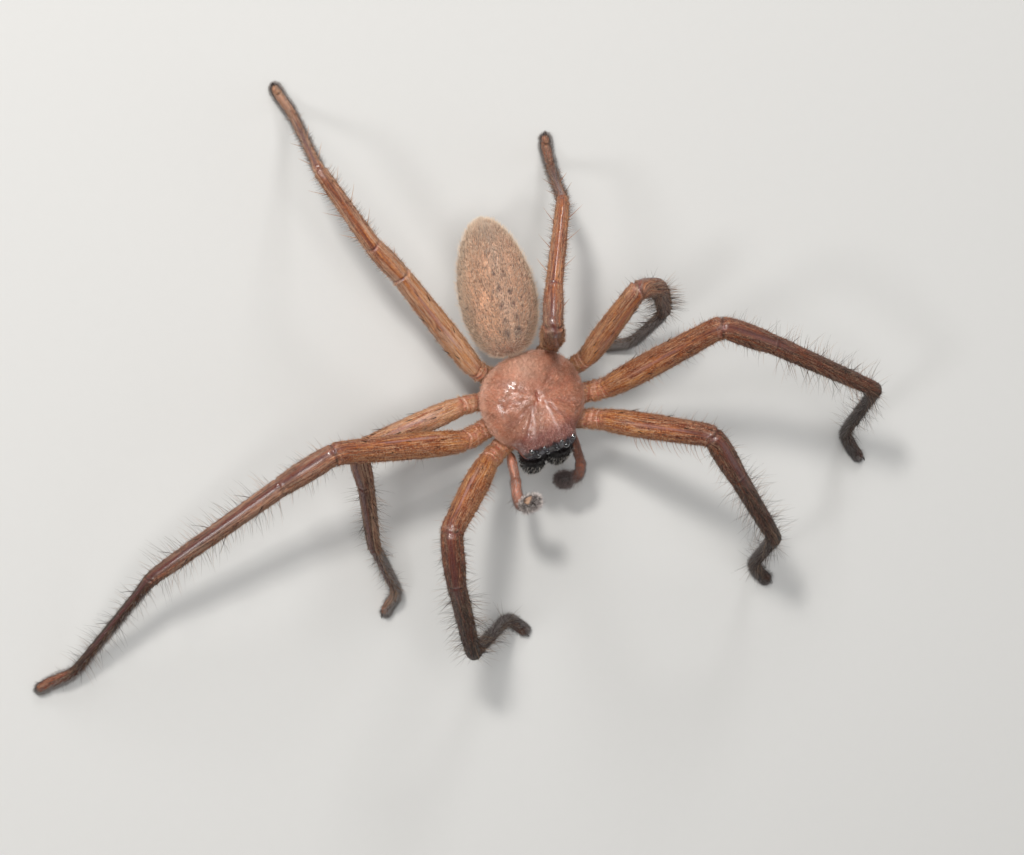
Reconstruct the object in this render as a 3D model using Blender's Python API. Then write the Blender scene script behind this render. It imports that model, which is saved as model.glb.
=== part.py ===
"""A huntsman spider, life size, standing on a flat surface as a still model.

The body heads along -Y, +X is the spider's left and +Z is up. Sizes are in
millimetres and angles in degrees; MM turns them into Blender's metres. Pieces
of the fore body are modelled level in their own frame (x left, y back, z up)
and hang on an empty that tips the whole fore body head up. Legs are chains of
segments, each with a heading (0 along -Y, positive towards +X) and a rise.
"""
import math
import random

import bmesh
import bpy
from mathutils import Matrix, Vector

MM = 0.001
GAP = 0.3                     # clear space between two touching pieces

# Stance of the fore body
BODY_HEIGHT = 7.3             # carapace margin plane above the ground, at its middle
BODY_PITCH = 12.7             # head up

# Carapace
CARAPACE_HALF_WIDTH = 4.35
CARAPACE_FRONT = 4.0          # reach of the round thorax outline ahead of the middle
CARAPACE_REAR = 3.7
HEAD_HALF_WIDTH = 2.5
HEAD_FRONT = 4.72
CARAPACE_TOP = 2.3
MARGIN_HEIGHT = 0.15
HEAD_MARGIN_DROP = 0.3
MARGIN_THICKNESS = 0.16
MARGIN_INSET = 0.12           # how far the margin's lower edge stands in
OUTLINE_POWER = 2.2           # squareness of the thorax outline
HEAD_POWER = 8.0
CORE_POWER = 3.0
DOME_POWER = 2.3              # steepness of the dome's side, more on the head
HEAD_DOME_POWER = 4.7
DOME_TOP_RINGS = 8
CARAPACE_SIDES = 40
CORE_HALF_WIDTH = 1.95        # the part below the carapace that the legs grow from
CORE_FRONT = 2.7
CORE_REAR = 2.9
CORE_BOTTOM = -1.88
# Rings of the core below the margin: share of its outline, share of its depth
CORE_RINGS = ((1.0, 0.45), (0.96, 0.88), (0.7, 1.0))
STERNUM_HALF = (1.7, 1.95, 0.27)
STERNUM_CENTRE = (0.0, 0.0, -2.47)
LABIUM_HALF = (0.42, 0.33, 0.2)
LABIUM_CENTRE = (0.0, -2.62, -2.5)

# Eyes: name, side distance and distance ahead of the body's middle, radius
EYES = (
    ("ame", 0.42, 4.56, 0.24),
    ("ale", 1.27, 4.56, 0.28),
    ("pme", 0.78, 4.08, 0.20),
    ("ple", 1.86, 4.02, 0.25),
)
EYE_SINK = 0.06               # centre of an eye below the carapace surface
SOCKET_GAP = 0.16

# Mouth parts, left side, in the fore body frame
CHELICERA_PATH = ((1.15, -4.02, -0.45), (1.14, -4.22, -0.85), (1.13, -4.55, -1.6),
                  (1.11, -4.98, -2.5), (1.06, -5.34, -3.3), (1.0, -5.55, -3.8))
CHELICERA_HALF = ((0.80, 0.86), (0.96, 1.05), (0.98, 1.12), (0.90, 1.0), (0.74, 0.82), (0.5, 0.56))
FANG_PATH = ((0.95, -5.42, -4.2), (0.8, -5.2, -4.55), (0.62, -4.8, -4.72), (0.46, -4.35, -4.72))
FANG_HALF = (0.36, 0.31, 0.22, 0.09)
MAXILLA_PATH = ((0.72, -3.0, -2.62), (1.2, -3.02, -2.6), (1.8, -3.14, -2.5), (2.45, -3.42, -2.34))
MAXILLA_HALF = (0.36, 0.42, 0.4, 0.3)
PALP_HALF = {"root": 0.34, "femur": 0.42, "patella": 0.45, "tibia": 0.47, "end": 0.4, "bulb": 0.66}
PALP_SIDES = 10
PALP_FEMUR_SWELL = 0.35       # share of the femur at which it is widest
PALP_TIBIA_SWELL = 0.45
PALP_BULB_ROOT = 0.36
PALP_BULB_SECTIONS = ((0.36, 0.86), (0.6, 1.0), (0.82, 0.86), (0.97, 0.45))
PALP_JOINTS = {
    "r": ((-2.73, -3.72, -2.26), (-3.15, -5.93, -1.75), (-3.5, -6.94, -1.56), (-3.65, -8.29, -1.46),
          (-2.3, -8.0, 0.25)),
    "l": ((2.73, -3.72, -2.3), (2.96, -6.7, -3.6), (2.8, -7.5, -4.3), (2.25, -7.95, -4.9),
          (0.85, -7.5, -5.3)),
}

# Abdomen, in the standing frame
ABDOMEN_FRONT = (-0.4, 3.85, 6.25)
ABDOMEN_REAR = (0.6, 15.15, 5.6)
ABDOMEN_HALF_WIDTH = 3.22
ABDOMEN_HALF_HEIGHT = 2.7
ABDOMEN_WIDEST = 0.42         # share of the length at which it is widest
ABDOMEN_BLUNTNESS = 0.46
ABDOMEN_SIDES = 28
ABDOMEN_RINGS = 22
SPINNERET_SHARE = 0.86        # where along the abdomen's underside they sit
SPINNERET_MOUND = (0.55, 0.5, 0.26)
SPINNERET_SPREAD = 0.25
SPINNERET_RADIUS = 0.22
SPINNERET_TIP_RADIUS = 0.1
SPINNERET_SIDES = 8
SPINNERETS = ((-0.14, 0.55), (0.16, 0.65))   # place along the mound, length
SPINNERET_LEAN = (0.9, 0.4, 0.12)          # outward, backward and sideways parts of their direction
BACKWARD = Vector((0.0, 1.0, 0.0))
PEDICEL_START = (0.0, 3.2, -0.9)
PEDICEL_RADII = (0.4, 0.5, 0.3)
PEDICEL_SIDES = 10

# Legs: segment lengths of each pair, femur, patella, tibia, metatarsus, tarsus
SEGMENT_LENGTHS = (
    (11.0, 4.9, 10.2, 9.2, 2.8),
    (13.6, 5.1, 13.4, 11.4, 3.4),
    (9.6, 3.5, 6.6, 5.6, 2.4),
    (11.3, 3.8, 7.8, 8.3, 2.8),
)
LEG_RADIUS = (1.04, 1.05, 0.93, 0.94)
HIPS = ((5.13, -3.72, -0.66), (6.38, -1.45, -0.56), (5.6, 1.38, -0.64), (3.46, 3.72, -0.82))
COXA_BASES = ((2.2, -2.45, -1.72), (2.38, -0.84, -1.72), (2.38, 0.84, -1.72), (2.1, 2.5, -1.72))
COXA_BASE_TURN = (-20.0, -5.0, 6.0, 38.0)
SOLE_AXIS = 0.3               # height of a tarsus tip's axis above the ground
SOLE_SNAP = 0.09              # what comes lower than this lies flat on the ground
SOLE_START = 0.66             # share of the tarsus from which it lies level

# Headings and rises of femur, patella, tibia, metatarsus, tarsus
POSES = {
    "l1": ((73, 18, 21, -2, 28), (53, -18, -31, -61, -22)),
    "l2": ((119, 51, 47, -6, 20), (47, -9, -22, -58, -19)),
    "l3": ((144, 65, 20, -40, -102), (41, -41, -54, -48, -11)),
    "l4": ((-151, -213, -216, -243, -194), (66, -37, -33, -71, -24)),
    "r1": ((-75, -6, 6, 82, 35), (52, -17, -35, -55, -22)),
    "r2": ((-111, -71, -68, -49, -80), (23, -21, -19, -25, -17)),
    "r3": ((-88, 2, -4, 12, -40), (4, -21, -22, -24, -25)),
    "r4": ((-158, -153, -162, -194, -167), (11, 14, 1, -66, -22)),
}

# Sections along each segment: share of its length, half width and half depth
# as shares of the leg's radius
COXA_SECTIONS = ((0.0, 0.68, 0.68), (0.3, 0.80, 0.80), (0.58, 0.80, 0.80), (0.68, 0.72, 0.72),
                 (0.8, 0.82, 0.82), (1.0, 0.78, 0.80))
FEMUR_SECTIONS = ((0.0, 0.78, 0.82), (0.1, 0.93, 0.96), (0.3, 1.0, 1.02), (0.55, 0.97, 1.0),
                  (0.78, 0.90, 0.93), (1.0, 0.84, 0.88))
PATELLA_SECTIONS = ((0.0, 0.80, 0.84), (0.32, 0.88, 0.90), (0.66, 0.88, 0.88), (1.0, 0.76, 0.78))
TIBIA_SECTIONS = ((0.14, 0.74, 0.76), (0.45, 0.71, 0.72), (0.8, 0.65, 0.66), (1.0, 0.60, 0.62))
METATARSUS_SECTIONS = ((0.0, 0.46, 0.46), (0.15, 0.46, 0.46), (0.5, 0.50, 0.50), (0.82, 0.58, 0.56),
                       (1.0, 0.50, 0.50))
TARSUS_SECTIONS = ((0.32, 0.50, 0.48), (0.66, 0.49, 0.47), (0.9, 0.47, 0.46), (1.0, 0.34, 0.38))
KNEE_CAP = 1.12               # how far a cut section may reach past the radius

# Spines: share along the segment, turn from the back of the leg, length, lean
SPINE_ROOT_RADIUS = 0.26
SPINE_TIP_RADIUS = 0.05
SPINE_SINK = 0.32
SPINE_SIDES = 5
FEMUR_SPINES = ((0.27, -52, 0.95, 28), (0.38, 46, 0.95, 28), (0.60, -48, 0.9, 28), (0.72, 50, 0.9, 28))
TIBIA_SPINES = ((0.16, -70, 1.6, 50), (0.22, 66, 1.6, 50), (0.45, -84, 1.8, 52), (0.52, 80, 1.8, 52),
                (0.60, 5, 1.2, 40), (0.74, -66, 1.7, 48), (0.8, 72, 1.7, 48))
METATARSUS_SPINES = ((0.12, -64, 1.5, 46), (0.16, 70, 1.5, 46), (0.44, -60, 1.4, 46), (0.5, 62, 1.4, 46))

RING_SIDES = 12
COLLECTION_NAME = "huntsman_spider"
GUIDES_NAME = "guides"

FINISHES = {
    "carapace": ((0.42, 0.17, 0.10), 0.45),
    "leg": ((0.38, 0.15, 0.06), 0.5),
    "foot": ((0.12, 0.05, 0.04), 0.6),
    "abdomen": ((0.36, 0.22, 0.13), 0.85),
    "under": ((0.40, 0.19, 0.10), 0.6),
    "chelicera": ((0.03, 0.015, 0.015), 0.4),
    "fang": ((0.05, 0.01, 0.01), 0.2),
    "eye": ((0.01, 0.01, 0.012), 0.05),
    "palp": ((0.35, 0.14, 0.08), 0.55),
    "palp_tip": ((0.30, 0.25, 0.21), 0.85),
}


def clear_scene():
    """Removes whatever the scene holds."""
    for item in list(bpy.data.objects):
        bpy.data.objects.remove(item, do_unlink=True)


def new_collection(name):
    """Adds a collection to the scene."""
    group = bpy.data.collections.new(name)
    bpy.context.scene.collection.children.link(group)
    return group


def finish(name):
    """Returns the material of that name from FINISHES."""
    material = bpy.data.materials.get(name)
    if material is None:
        colour, roughness = FINISHES[name]
        material = bpy.data.materials.new(name)
        material.use_nodes = True
        shader = material.node_tree.nodes["Principled BSDF"]
        shader.inputs["Base Color"].default_value = (*colour, 1.0)
        shader.inputs["Roughness"].default_value = roughness
        shader.inputs["Metallic"].default_value = 0.0
    return material


def new_empty(name, parts, parent=None):
    """Adds an empty that pieces are parented to."""
    empty = bpy.data.objects.new(name, None)
    empty.parent = parent
    parts.objects.link(empty)
    return empty


def new_piece(name, shape, material, parts, parent, origin=(0.0, 0.0, 0.0)):
    """Turns a bmesh in millimetres into a named object with its origin at a joint."""
    bmesh.ops.recalc_face_normals(shape, faces=shape.faces)
    if shape.calc_volume(signed=True) < 0.0:
        bmesh.ops.reverse_faces(shape, faces=shape.faces)
    bmesh.ops.translate(shape, verts=shape.verts, vec=-Vector(origin))
    bmesh.ops.scale(shape, verts=shape.verts, vec=(MM, MM, MM))
    mesh = bpy.data.meshes.new(name)
    shape.to_mesh(mesh)
    shape.free()
    piece = bpy.data.objects.new(name, mesh)
    piece.location = Vector(origin) * MM
    if material is not None:
        mesh.materials.append(finish(material))
        mesh.shade_smooth()
    piece.parent = parent
    parts.objects.link(piece)
    return piece


def loft(rings):
    """Closed body through rings of points, with flat ends."""
    shape = bmesh.new()
    loops = [[shape.verts.new(point) for point in ring] for ring in rings]
    for near, far in zip(loops, loops[1:]):
        for i in range(len(near)):
            shape.faces.new((near[i - 1], near[i], far[i], far[i - 1]))
    shape.faces.new(loops[0])
    shape.faces.new(loops[-1])
    return shape


def oval(centre, along, back, half_width, half_depth, sides=RING_SIDES):
    """Ring of points across a direction, with its depth towards the back vector."""
    across = along.cross(back).normalized()
    deep = across.cross(along).normalized()
    ring = []
    for i in range(sides):
        turn = math.tau * (i + 0.5) / sides
        ring.append(centre + across * (half_width * math.cos(turn)) + deep * (half_depth * math.sin(turn)))
    return ring


def cut_oval(ring, centre, along, normal, shift, reach):
    """Slides a ring's points along the segment onto a slanted plane through a joint."""
    on_plane = centre + normal * shift
    cut = []
    for point in ring:
        slid = point + along * ((on_plane - point).dot(normal) / along.dot(normal))
        out = slid - on_plane
        if out.length > reach:
            slid = on_plane + out * (reach / out.length)
        cut.append(slid)
    return cut


def direction(heading, rise):
    """Unit vector of a heading and a rise."""
    h = math.radians(heading)
    r = math.radians(rise)
    return Vector((math.sin(h) * math.cos(r), -math.cos(h) * math.cos(r), math.sin(r)))


def standing(point):
    """Turns a point of the fore body frame into the standing frame."""
    tip = Matrix.Rotation(math.radians(-BODY_PITCH), 3, "X")
    return tip @ Vector(point) + Vector((0.0, 0.0, BODY_HEIGHT))


def smooth_step(value, low, high):
    """Rises from 0 at low to 1 at high with level ends."""
    t = min(max((value - low) / (high - low), 0.0), 1.0)
    return t * t * (3.0 - 2.0 * t)


def super_radius(turn, half_width, half_length, power):
    """Radius of a superellipse at an angle from its length axis."""
    wide = abs(math.sin(turn)) / half_width
    long = abs(math.cos(turn)) / half_length
    return (wide ** power + long ** power) ** (-1.0 / power)


def head_share(turn):
    """1 on the head's sector of the carapace, 0 on the thorax."""
    return smooth_step(math.cos(turn), 0.55, 0.85)


def carapace_radius(turn):
    """Outline of the carapace at an angle from straight ahead."""
    ahead = math.cos(turn) > 0.0
    reach = CARAPACE_FRONT if ahead else CARAPACE_REAR
    thorax = super_radius(turn, CARAPACE_HALF_WIDTH, reach, OUTLINE_POWER)
    if not ahead:
        return thorax
    head = super_radius(turn, HEAD_HALF_WIDTH, HEAD_FRONT, HEAD_POWER)
    return (thorax ** 16 + head ** 16) ** (1.0 / 16.0)


def carapace_height(share, turn):
    """Height of the carapace's top at a share of the outline's radius."""
    head = head_share(turn)
    margin = MARGIN_HEIGHT - HEAD_MARGIN_DROP * head
    bluntness = DOME_POWER + HEAD_DOME_POWER * head
    return margin + (CARAPACE_TOP - margin) * (1.0 - share ** bluntness) ** 0.6


def carapace_point(x, y):
    """Point on the carapace's top over a place in the fore body frame."""
    turn = math.atan2(x, -y)
    share = min(math.hypot(x, y) / carapace_radius(turn), 1.0)
    return Vector((x, y, carapace_height(share, turn)))


def carapace_normal(x, y, step=0.05):
    """Outward direction of the carapace's top at a place."""
    along_x = carapace_point(x + step, y) - carapace_point(x - step, y)
    along_y = carapace_point(x, y + step) - carapace_point(x, y - step)
    return along_x.cross(along_y).normalized()


def carapace_shape():
    """A sphere drawn into the carapace's dome, its margin and the core below it."""
    rings = DOME_TOP_RINGS + len(CORE_RINGS) + 3
    shape = bmesh.new()
    bmesh.ops.create_uvsphere(shape, u_segments=CARAPACE_SIDES, v_segments=rings, radius=1.0)
    for vert in shape.verts:
        turn = math.atan2(vert.co.x, -vert.co.y)
        level = round(math.acos(max(min(vert.co.z, 1.0), -1.0)) / math.pi * rings)
        radius, height = carapace_profile(level, turn)
        vert.co = (radius * math.sin(turn), -radius * math.cos(turn), height)
    return shape


def carapace_profile(level, turn):
    """Radius and height of a ring of the carapace at an angle from the front."""
    edge = carapace_radius(turn)
    if level <= DOME_TOP_RINGS:
        share = math.sin(0.5 * math.pi * level / DOME_TOP_RINGS)
        return share * edge, carapace_height(share, turn)
    shelf = MARGIN_HEIGHT - HEAD_MARGIN_DROP * head_share(turn) - MARGIN_THICKNESS
    core = super_radius(turn, CORE_HALF_WIDTH, CORE_FRONT if math.cos(turn) > 0.0 else CORE_REAR, CORE_POWER)
    places = [(edge - MARGIN_INSET, shelf), (core, shelf)]
    places += [(core * share, CORE_BOTTOM * depth) for share, depth in CORE_RINGS]
    places.append((0.0, CORE_BOTTOM))
    return places[level - DOME_TOP_RINGS - 1]


def ball(centre, half, segments=16, rings=10):
    """Sphere drawn out to three half sizes."""
    shape = bmesh.new()
    bmesh.ops.create_uvsphere(shape, u_segments=segments, v_segments=rings, radius=1.0)
    bmesh.ops.scale(shape, verts=shape.verts, vec=half)
    bmesh.ops.translate(shape, verts=shape.verts, vec=centre)
    return shape


def eye_centre(side, ahead):
    """Centre of an eye, a little below the carapace's surface."""
    return carapace_point(side, -ahead) - carapace_normal(side, -ahead) * EYE_SINK


def build_head(parts, guides, fore_body):
    """Carapace with a socket for each of the eight eyes, and the eyes in them."""
    carapace = new_piece("carapace", carapace_shape(), "carapace", parts, fore_body)
    for label, side, ahead, radius in EYES:
        for tag, sign in (("l", 1.0), ("r", -1.0)):
            centre = eye_centre(sign * side, ahead)
            new_piece(f"eye_{label}_{tag}", ball(centre, (radius,) * 3, 10, 8), "eye", parts, fore_body)
            wide = radius + SOCKET_GAP
            socket = new_piece(f"socket_{label}_{tag}", ball(centre, (wide,) * 3, 10, 8), None, guides, fore_body)
            socket.hide_render = True
            socket.display_type = "WIRE"
    cut = carapace.modifiers.new("sockets", "BOOLEAN")
    cut.operation = "DIFFERENCE"
    cut.operand_type = "COLLECTION"
    cut.collection = guides
    cut.solver = "EXACT"


def path_directions(points):
    """Unit vectors from each point of a path to the next."""
    return [(far - near).normalized() for near, far in zip(points, points[1:])]


def rope_rings(points, halves, back, sides=RING_SIDES):
    """Rings along a path, each across the mean of the directions that meet there."""
    ways = path_directions(points)
    rings = []
    for i, (point, half) in enumerate(zip(points, halves)):
        along = (ways[max(i - 1, 0)] + ways[min(i, len(ways) - 1)]).normalized()
        wide, deep = half if isinstance(half, tuple) else (half, half)
        rings.append(oval(point, along, back, wide, deep, sides))
    return rings


def mirrored(points, sign):
    """Points of the left side, or their mirror images for the right."""
    return [Vector((sign * p[0], p[1], p[2])) for p in points]


def build_mouth_parts(parts, fore_body):
    """Chelicerae, fangs, and the maxillae that the palps grow from."""
    for tag, sign in (("l", 1.0), ("r", -1.0)):
        path = mirrored(CHELICERA_PATH, sign)
        rings = rope_rings(path, CHELICERA_HALF, Vector((0.0, -1.0, 0.0)))
        rings[0] = cut_oval(rings[0], path[0], (path[1] - path[0]).normalized(), Vector((0, 0, -1)), 0.0, 2.0)
        new_piece(f"chelicera_{tag}", loft(rings), "chelicera", parts, fore_body)
        fang = rope_rings(mirrored(FANG_PATH, sign), FANG_HALF, Vector((0.0, 0.0, 1.0)), 8)
        new_piece(f"fang_{tag}", loft(fang), "fang", parts, fore_body)
        maxilla = rope_rings(mirrored(MAXILLA_PATH, sign), MAXILLA_HALF, Vector((0.0, 0.0, 1.0)), 10)
        new_piece(f"maxilla_{tag}", loft(maxilla), "under", parts, fore_body)


def joint_plane(near, far):
    """Normal of the plane that halves the bend between two directions."""
    return (near + far).normalized()


def build_palp(tag, parts, fore_body):
    """One palp: femur, patella and tibia in one node and the swollen tip in another."""
    joints = [Vector(p) for p in PALP_JOINTS[tag]]
    ways = path_directions(joints)
    plane = joint_plane(ways[2], ways[3])
    new_piece(f"palp_{tag}", loft(palp_shaft_rings(joints, ways, plane)), "palp", parts, fore_body)
    bulb = PALP_HALF["bulb"]
    start = oval(joints[3], ways[3], ways[2], PALP_BULB_ROOT, PALP_BULB_ROOT, PALP_SIDES)
    rings = [cut_oval(start, joints[3], ways[3], plane, GAP / 2, KNEE_CAP * PALP_BULB_ROOT)]
    for share, half in PALP_BULB_SECTIONS:
        centre = joints[3].lerp(joints[4], share)
        rings.append(oval(centre, ways[3], ways[2], bulb * half, bulb * half, PALP_SIDES))
    new_piece(f"palp_{tag}_tip", loft(rings), "palp_tip", parts, fore_body)


def palp_shaft_rings(joints, ways, plane):
    """Rings of a palp from its root to the cut before its tip."""
    back = Vector((0.0, 0.0, 1.0))
    swell = joints[0].lerp(joints[1], PALP_FEMUR_SWELL)
    middle = joints[2].lerp(joints[3], PALP_TIBIA_SWELL)
    places = (
        (joints[0], ways[0], "root"),
        (swell, ways[0], "femur"),
        (joints[1], joint_plane(ways[0], ways[1]), "patella"),
        (joints[2], joint_plane(ways[1], ways[2]), "tibia"),
        (middle, ways[2], "tibia"),
        (joints[3], ways[2], "end"),
    )
    rings = [oval(centre, along, back, PALP_HALF[part], PALP_HALF[part], PALP_SIDES)
             for centre, along, part in places]
    rings[-1] = cut_oval(rings[-1], joints[3], ways[2], plane, -GAP / 2, KNEE_CAP * PALP_HALF["end"])
    return rings


def build_underside(parts, fore_body):
    """Sternum and labium, the plates between the legs and behind the mouth."""
    new_piece("sternum", ball(STERNUM_CENTRE, STERNUM_HALF), "under", parts, fore_body)
    new_piece("labium", ball(LABIUM_CENTRE, LABIUM_HALF, 12, 8), "under", parts, fore_body)


def abdomen_frame():
    """Axis, upward and sideways directions and length of the abdomen."""
    axis = Vector(ABDOMEN_REAR) - Vector(ABDOMEN_FRONT)
    along = axis.normalized()
    side = along.cross(Vector((0.0, 0.0, 1.0))).normalized()
    return along, side.cross(along), side, axis.length


def abdomen_half(share):
    """Swelling of the abdomen at a share of its length, from 0 at the ends to 1."""
    skew = math.log(0.5) / math.log(ABDOMEN_WIDEST)
    return max(math.sin(math.pi * share ** skew), 0.0) ** ABDOMEN_BLUNTNESS


def abdomen_point(share, turn):
    """Point on the abdomen's surface; turn 0 is its top."""
    along, up, side, length = abdomen_frame()
    half = abdomen_half(share)
    wide = ABDOMEN_HALF_WIDTH * half * math.sin(turn)
    tall = ABDOMEN_HALF_HEIGHT * half * math.cos(turn)
    return Vector(ABDOMEN_FRONT) + along * (length * share) + side * wide + up * tall


def build_abdomen(parts, root):
    """The abdomen, a sphere drawn along its axis, and the pedicel that carries it."""
    along, up = abdomen_frame()[:2]
    shape = bmesh.new()
    bmesh.ops.create_uvsphere(shape, u_segments=ABDOMEN_SIDES, v_segments=ABDOMEN_RINGS, radius=1.0)
    for vert in shape.verts:
        polar = math.acos(max(min(vert.co.z, 1.0), -1.0))
        share = 0.5 - 0.5 * math.cos(polar)
        vert.co = abdomen_point(share, math.atan2(vert.co.x, vert.co.y))
    new_piece("abdomen", shape, "abdomen", parts, root, ABDOMEN_FRONT)
    start = standing(PEDICEL_START)
    end = Vector(ABDOMEN_FRONT) - along * GAP
    points = [start, start.lerp(end, 0.5), end]
    rings = rope_rings(points, PEDICEL_RADII, up, PEDICEL_SIDES)
    new_piece("pedicel", loft(rings), "under", parts, root, start)


def cone(base, way, length, root_radius, tip_radius, sides):
    """Closed cone from a base point along a direction."""
    shape = bmesh.new()
    bmesh.ops.create_cone(shape, cap_ends=True, segments=sides, radius1=root_radius,
                          radius2=tip_radius, depth=length)
    turn = way.to_track_quat("Z", "Y").to_matrix().to_4x4()
    place = Matrix.Translation(base + way * (0.5 * length)) @ turn
    bmesh.ops.transform(shape, matrix=place, verts=shape.verts)
    return shape


def keep_largest(mesh):
    """Keeps the largest closed surface of a mesh."""
    shape = bmesh.new()
    shape.from_mesh(mesh)
    left = set(shape.faces)
    islands = []
    while left:
        queue = [left.pop()]
        island = set(queue)
        while queue:
            for edge in queue.pop().edges:
                for face in edge.link_faces:
                    if face in left:
                        left.discard(face)
                        island.add(face)
                        queue.append(face)
        islands.append(island)
    islands.sort(key=lambda island: sum(face.calc_area() for face in island))
    loose = [face for island in islands[:-1] for face in island]
    bmesh.ops.delete(shape, geom=loose, context="FACES")
    shape.to_mesh(mesh)
    shape.free()


def fuse(piece, shapes):
    """Joins closed shapes to a piece with one Boolean union and applies it."""
    if not shapes:
        return
    group = bpy.data.collections.new(f"{piece.name}_growths")
    bpy.context.scene.collection.children.link(group)
    for i, shape in enumerate(shapes):
        growth = new_piece(f"{piece.name}_growth_{i}", shape, None, group, None)
        growth.parent = piece.parent
    join = piece.modifiers.new("growths", "BOOLEAN")
    join.operation = "UNION"
    join.operand_type = "COLLECTION"
    join.collection = group
    join.solver = "EXACT"
    bpy.context.view_layer.update()
    evaluated = piece.evaluated_get(bpy.context.evaluated_depsgraph_get())
    joined = bpy.data.meshes.new_from_object(evaluated)
    piece.modifiers.clear()
    piece.data = joined
    keep_largest(joined)
    joined.shade_smooth()
    for growth in list(group.objects):
        bpy.data.objects.remove(growth, do_unlink=True)
    bpy.data.collections.remove(group)


def build_spinnerets(parts, root):
    """A small mound under the abdomen's end with two pairs of short cones."""
    side = abdomen_frame()[2]
    foot = abdomen_point(SPINNERET_SHARE, math.pi)
    slope = (abdomen_point(SPINNERET_SHARE + 0.02, math.pi) - foot).normalized()
    out = slope.cross(side).normalized()
    if out.z > 0.0:
        out.negate()
    centre = foot + out * (SPINNERET_MOUND[2] + GAP)
    mound = ball((0.0, 0.0, 0.0), SPINNERET_MOUND, 12, 8)
    turn = Matrix((side, slope, slope.cross(side).normalized())).transposed().to_4x4()
    bmesh.ops.transform(mound, matrix=Matrix.Translation(centre) @ turn, verts=mound.verts)
    piece = new_piece("spinnerets", mound, "under", parts, root)
    outward, backward, sideways = SPINNERET_LEAN
    cones = []
    for sign in (-1.0, 1.0):
        for place, reach in SPINNERETS:
            base = centre + side * (SPINNERET_SPREAD * sign) + slope * place
            way = (out * outward + BACKWARD * backward + side * (sideways * sign)).normalized()
            cones.append(cone(base, way, reach, SPINNERET_RADIUS, SPINNERET_TIP_RADIUS, SPINNERET_SIDES))
    fuse(piece, cones)


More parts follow.
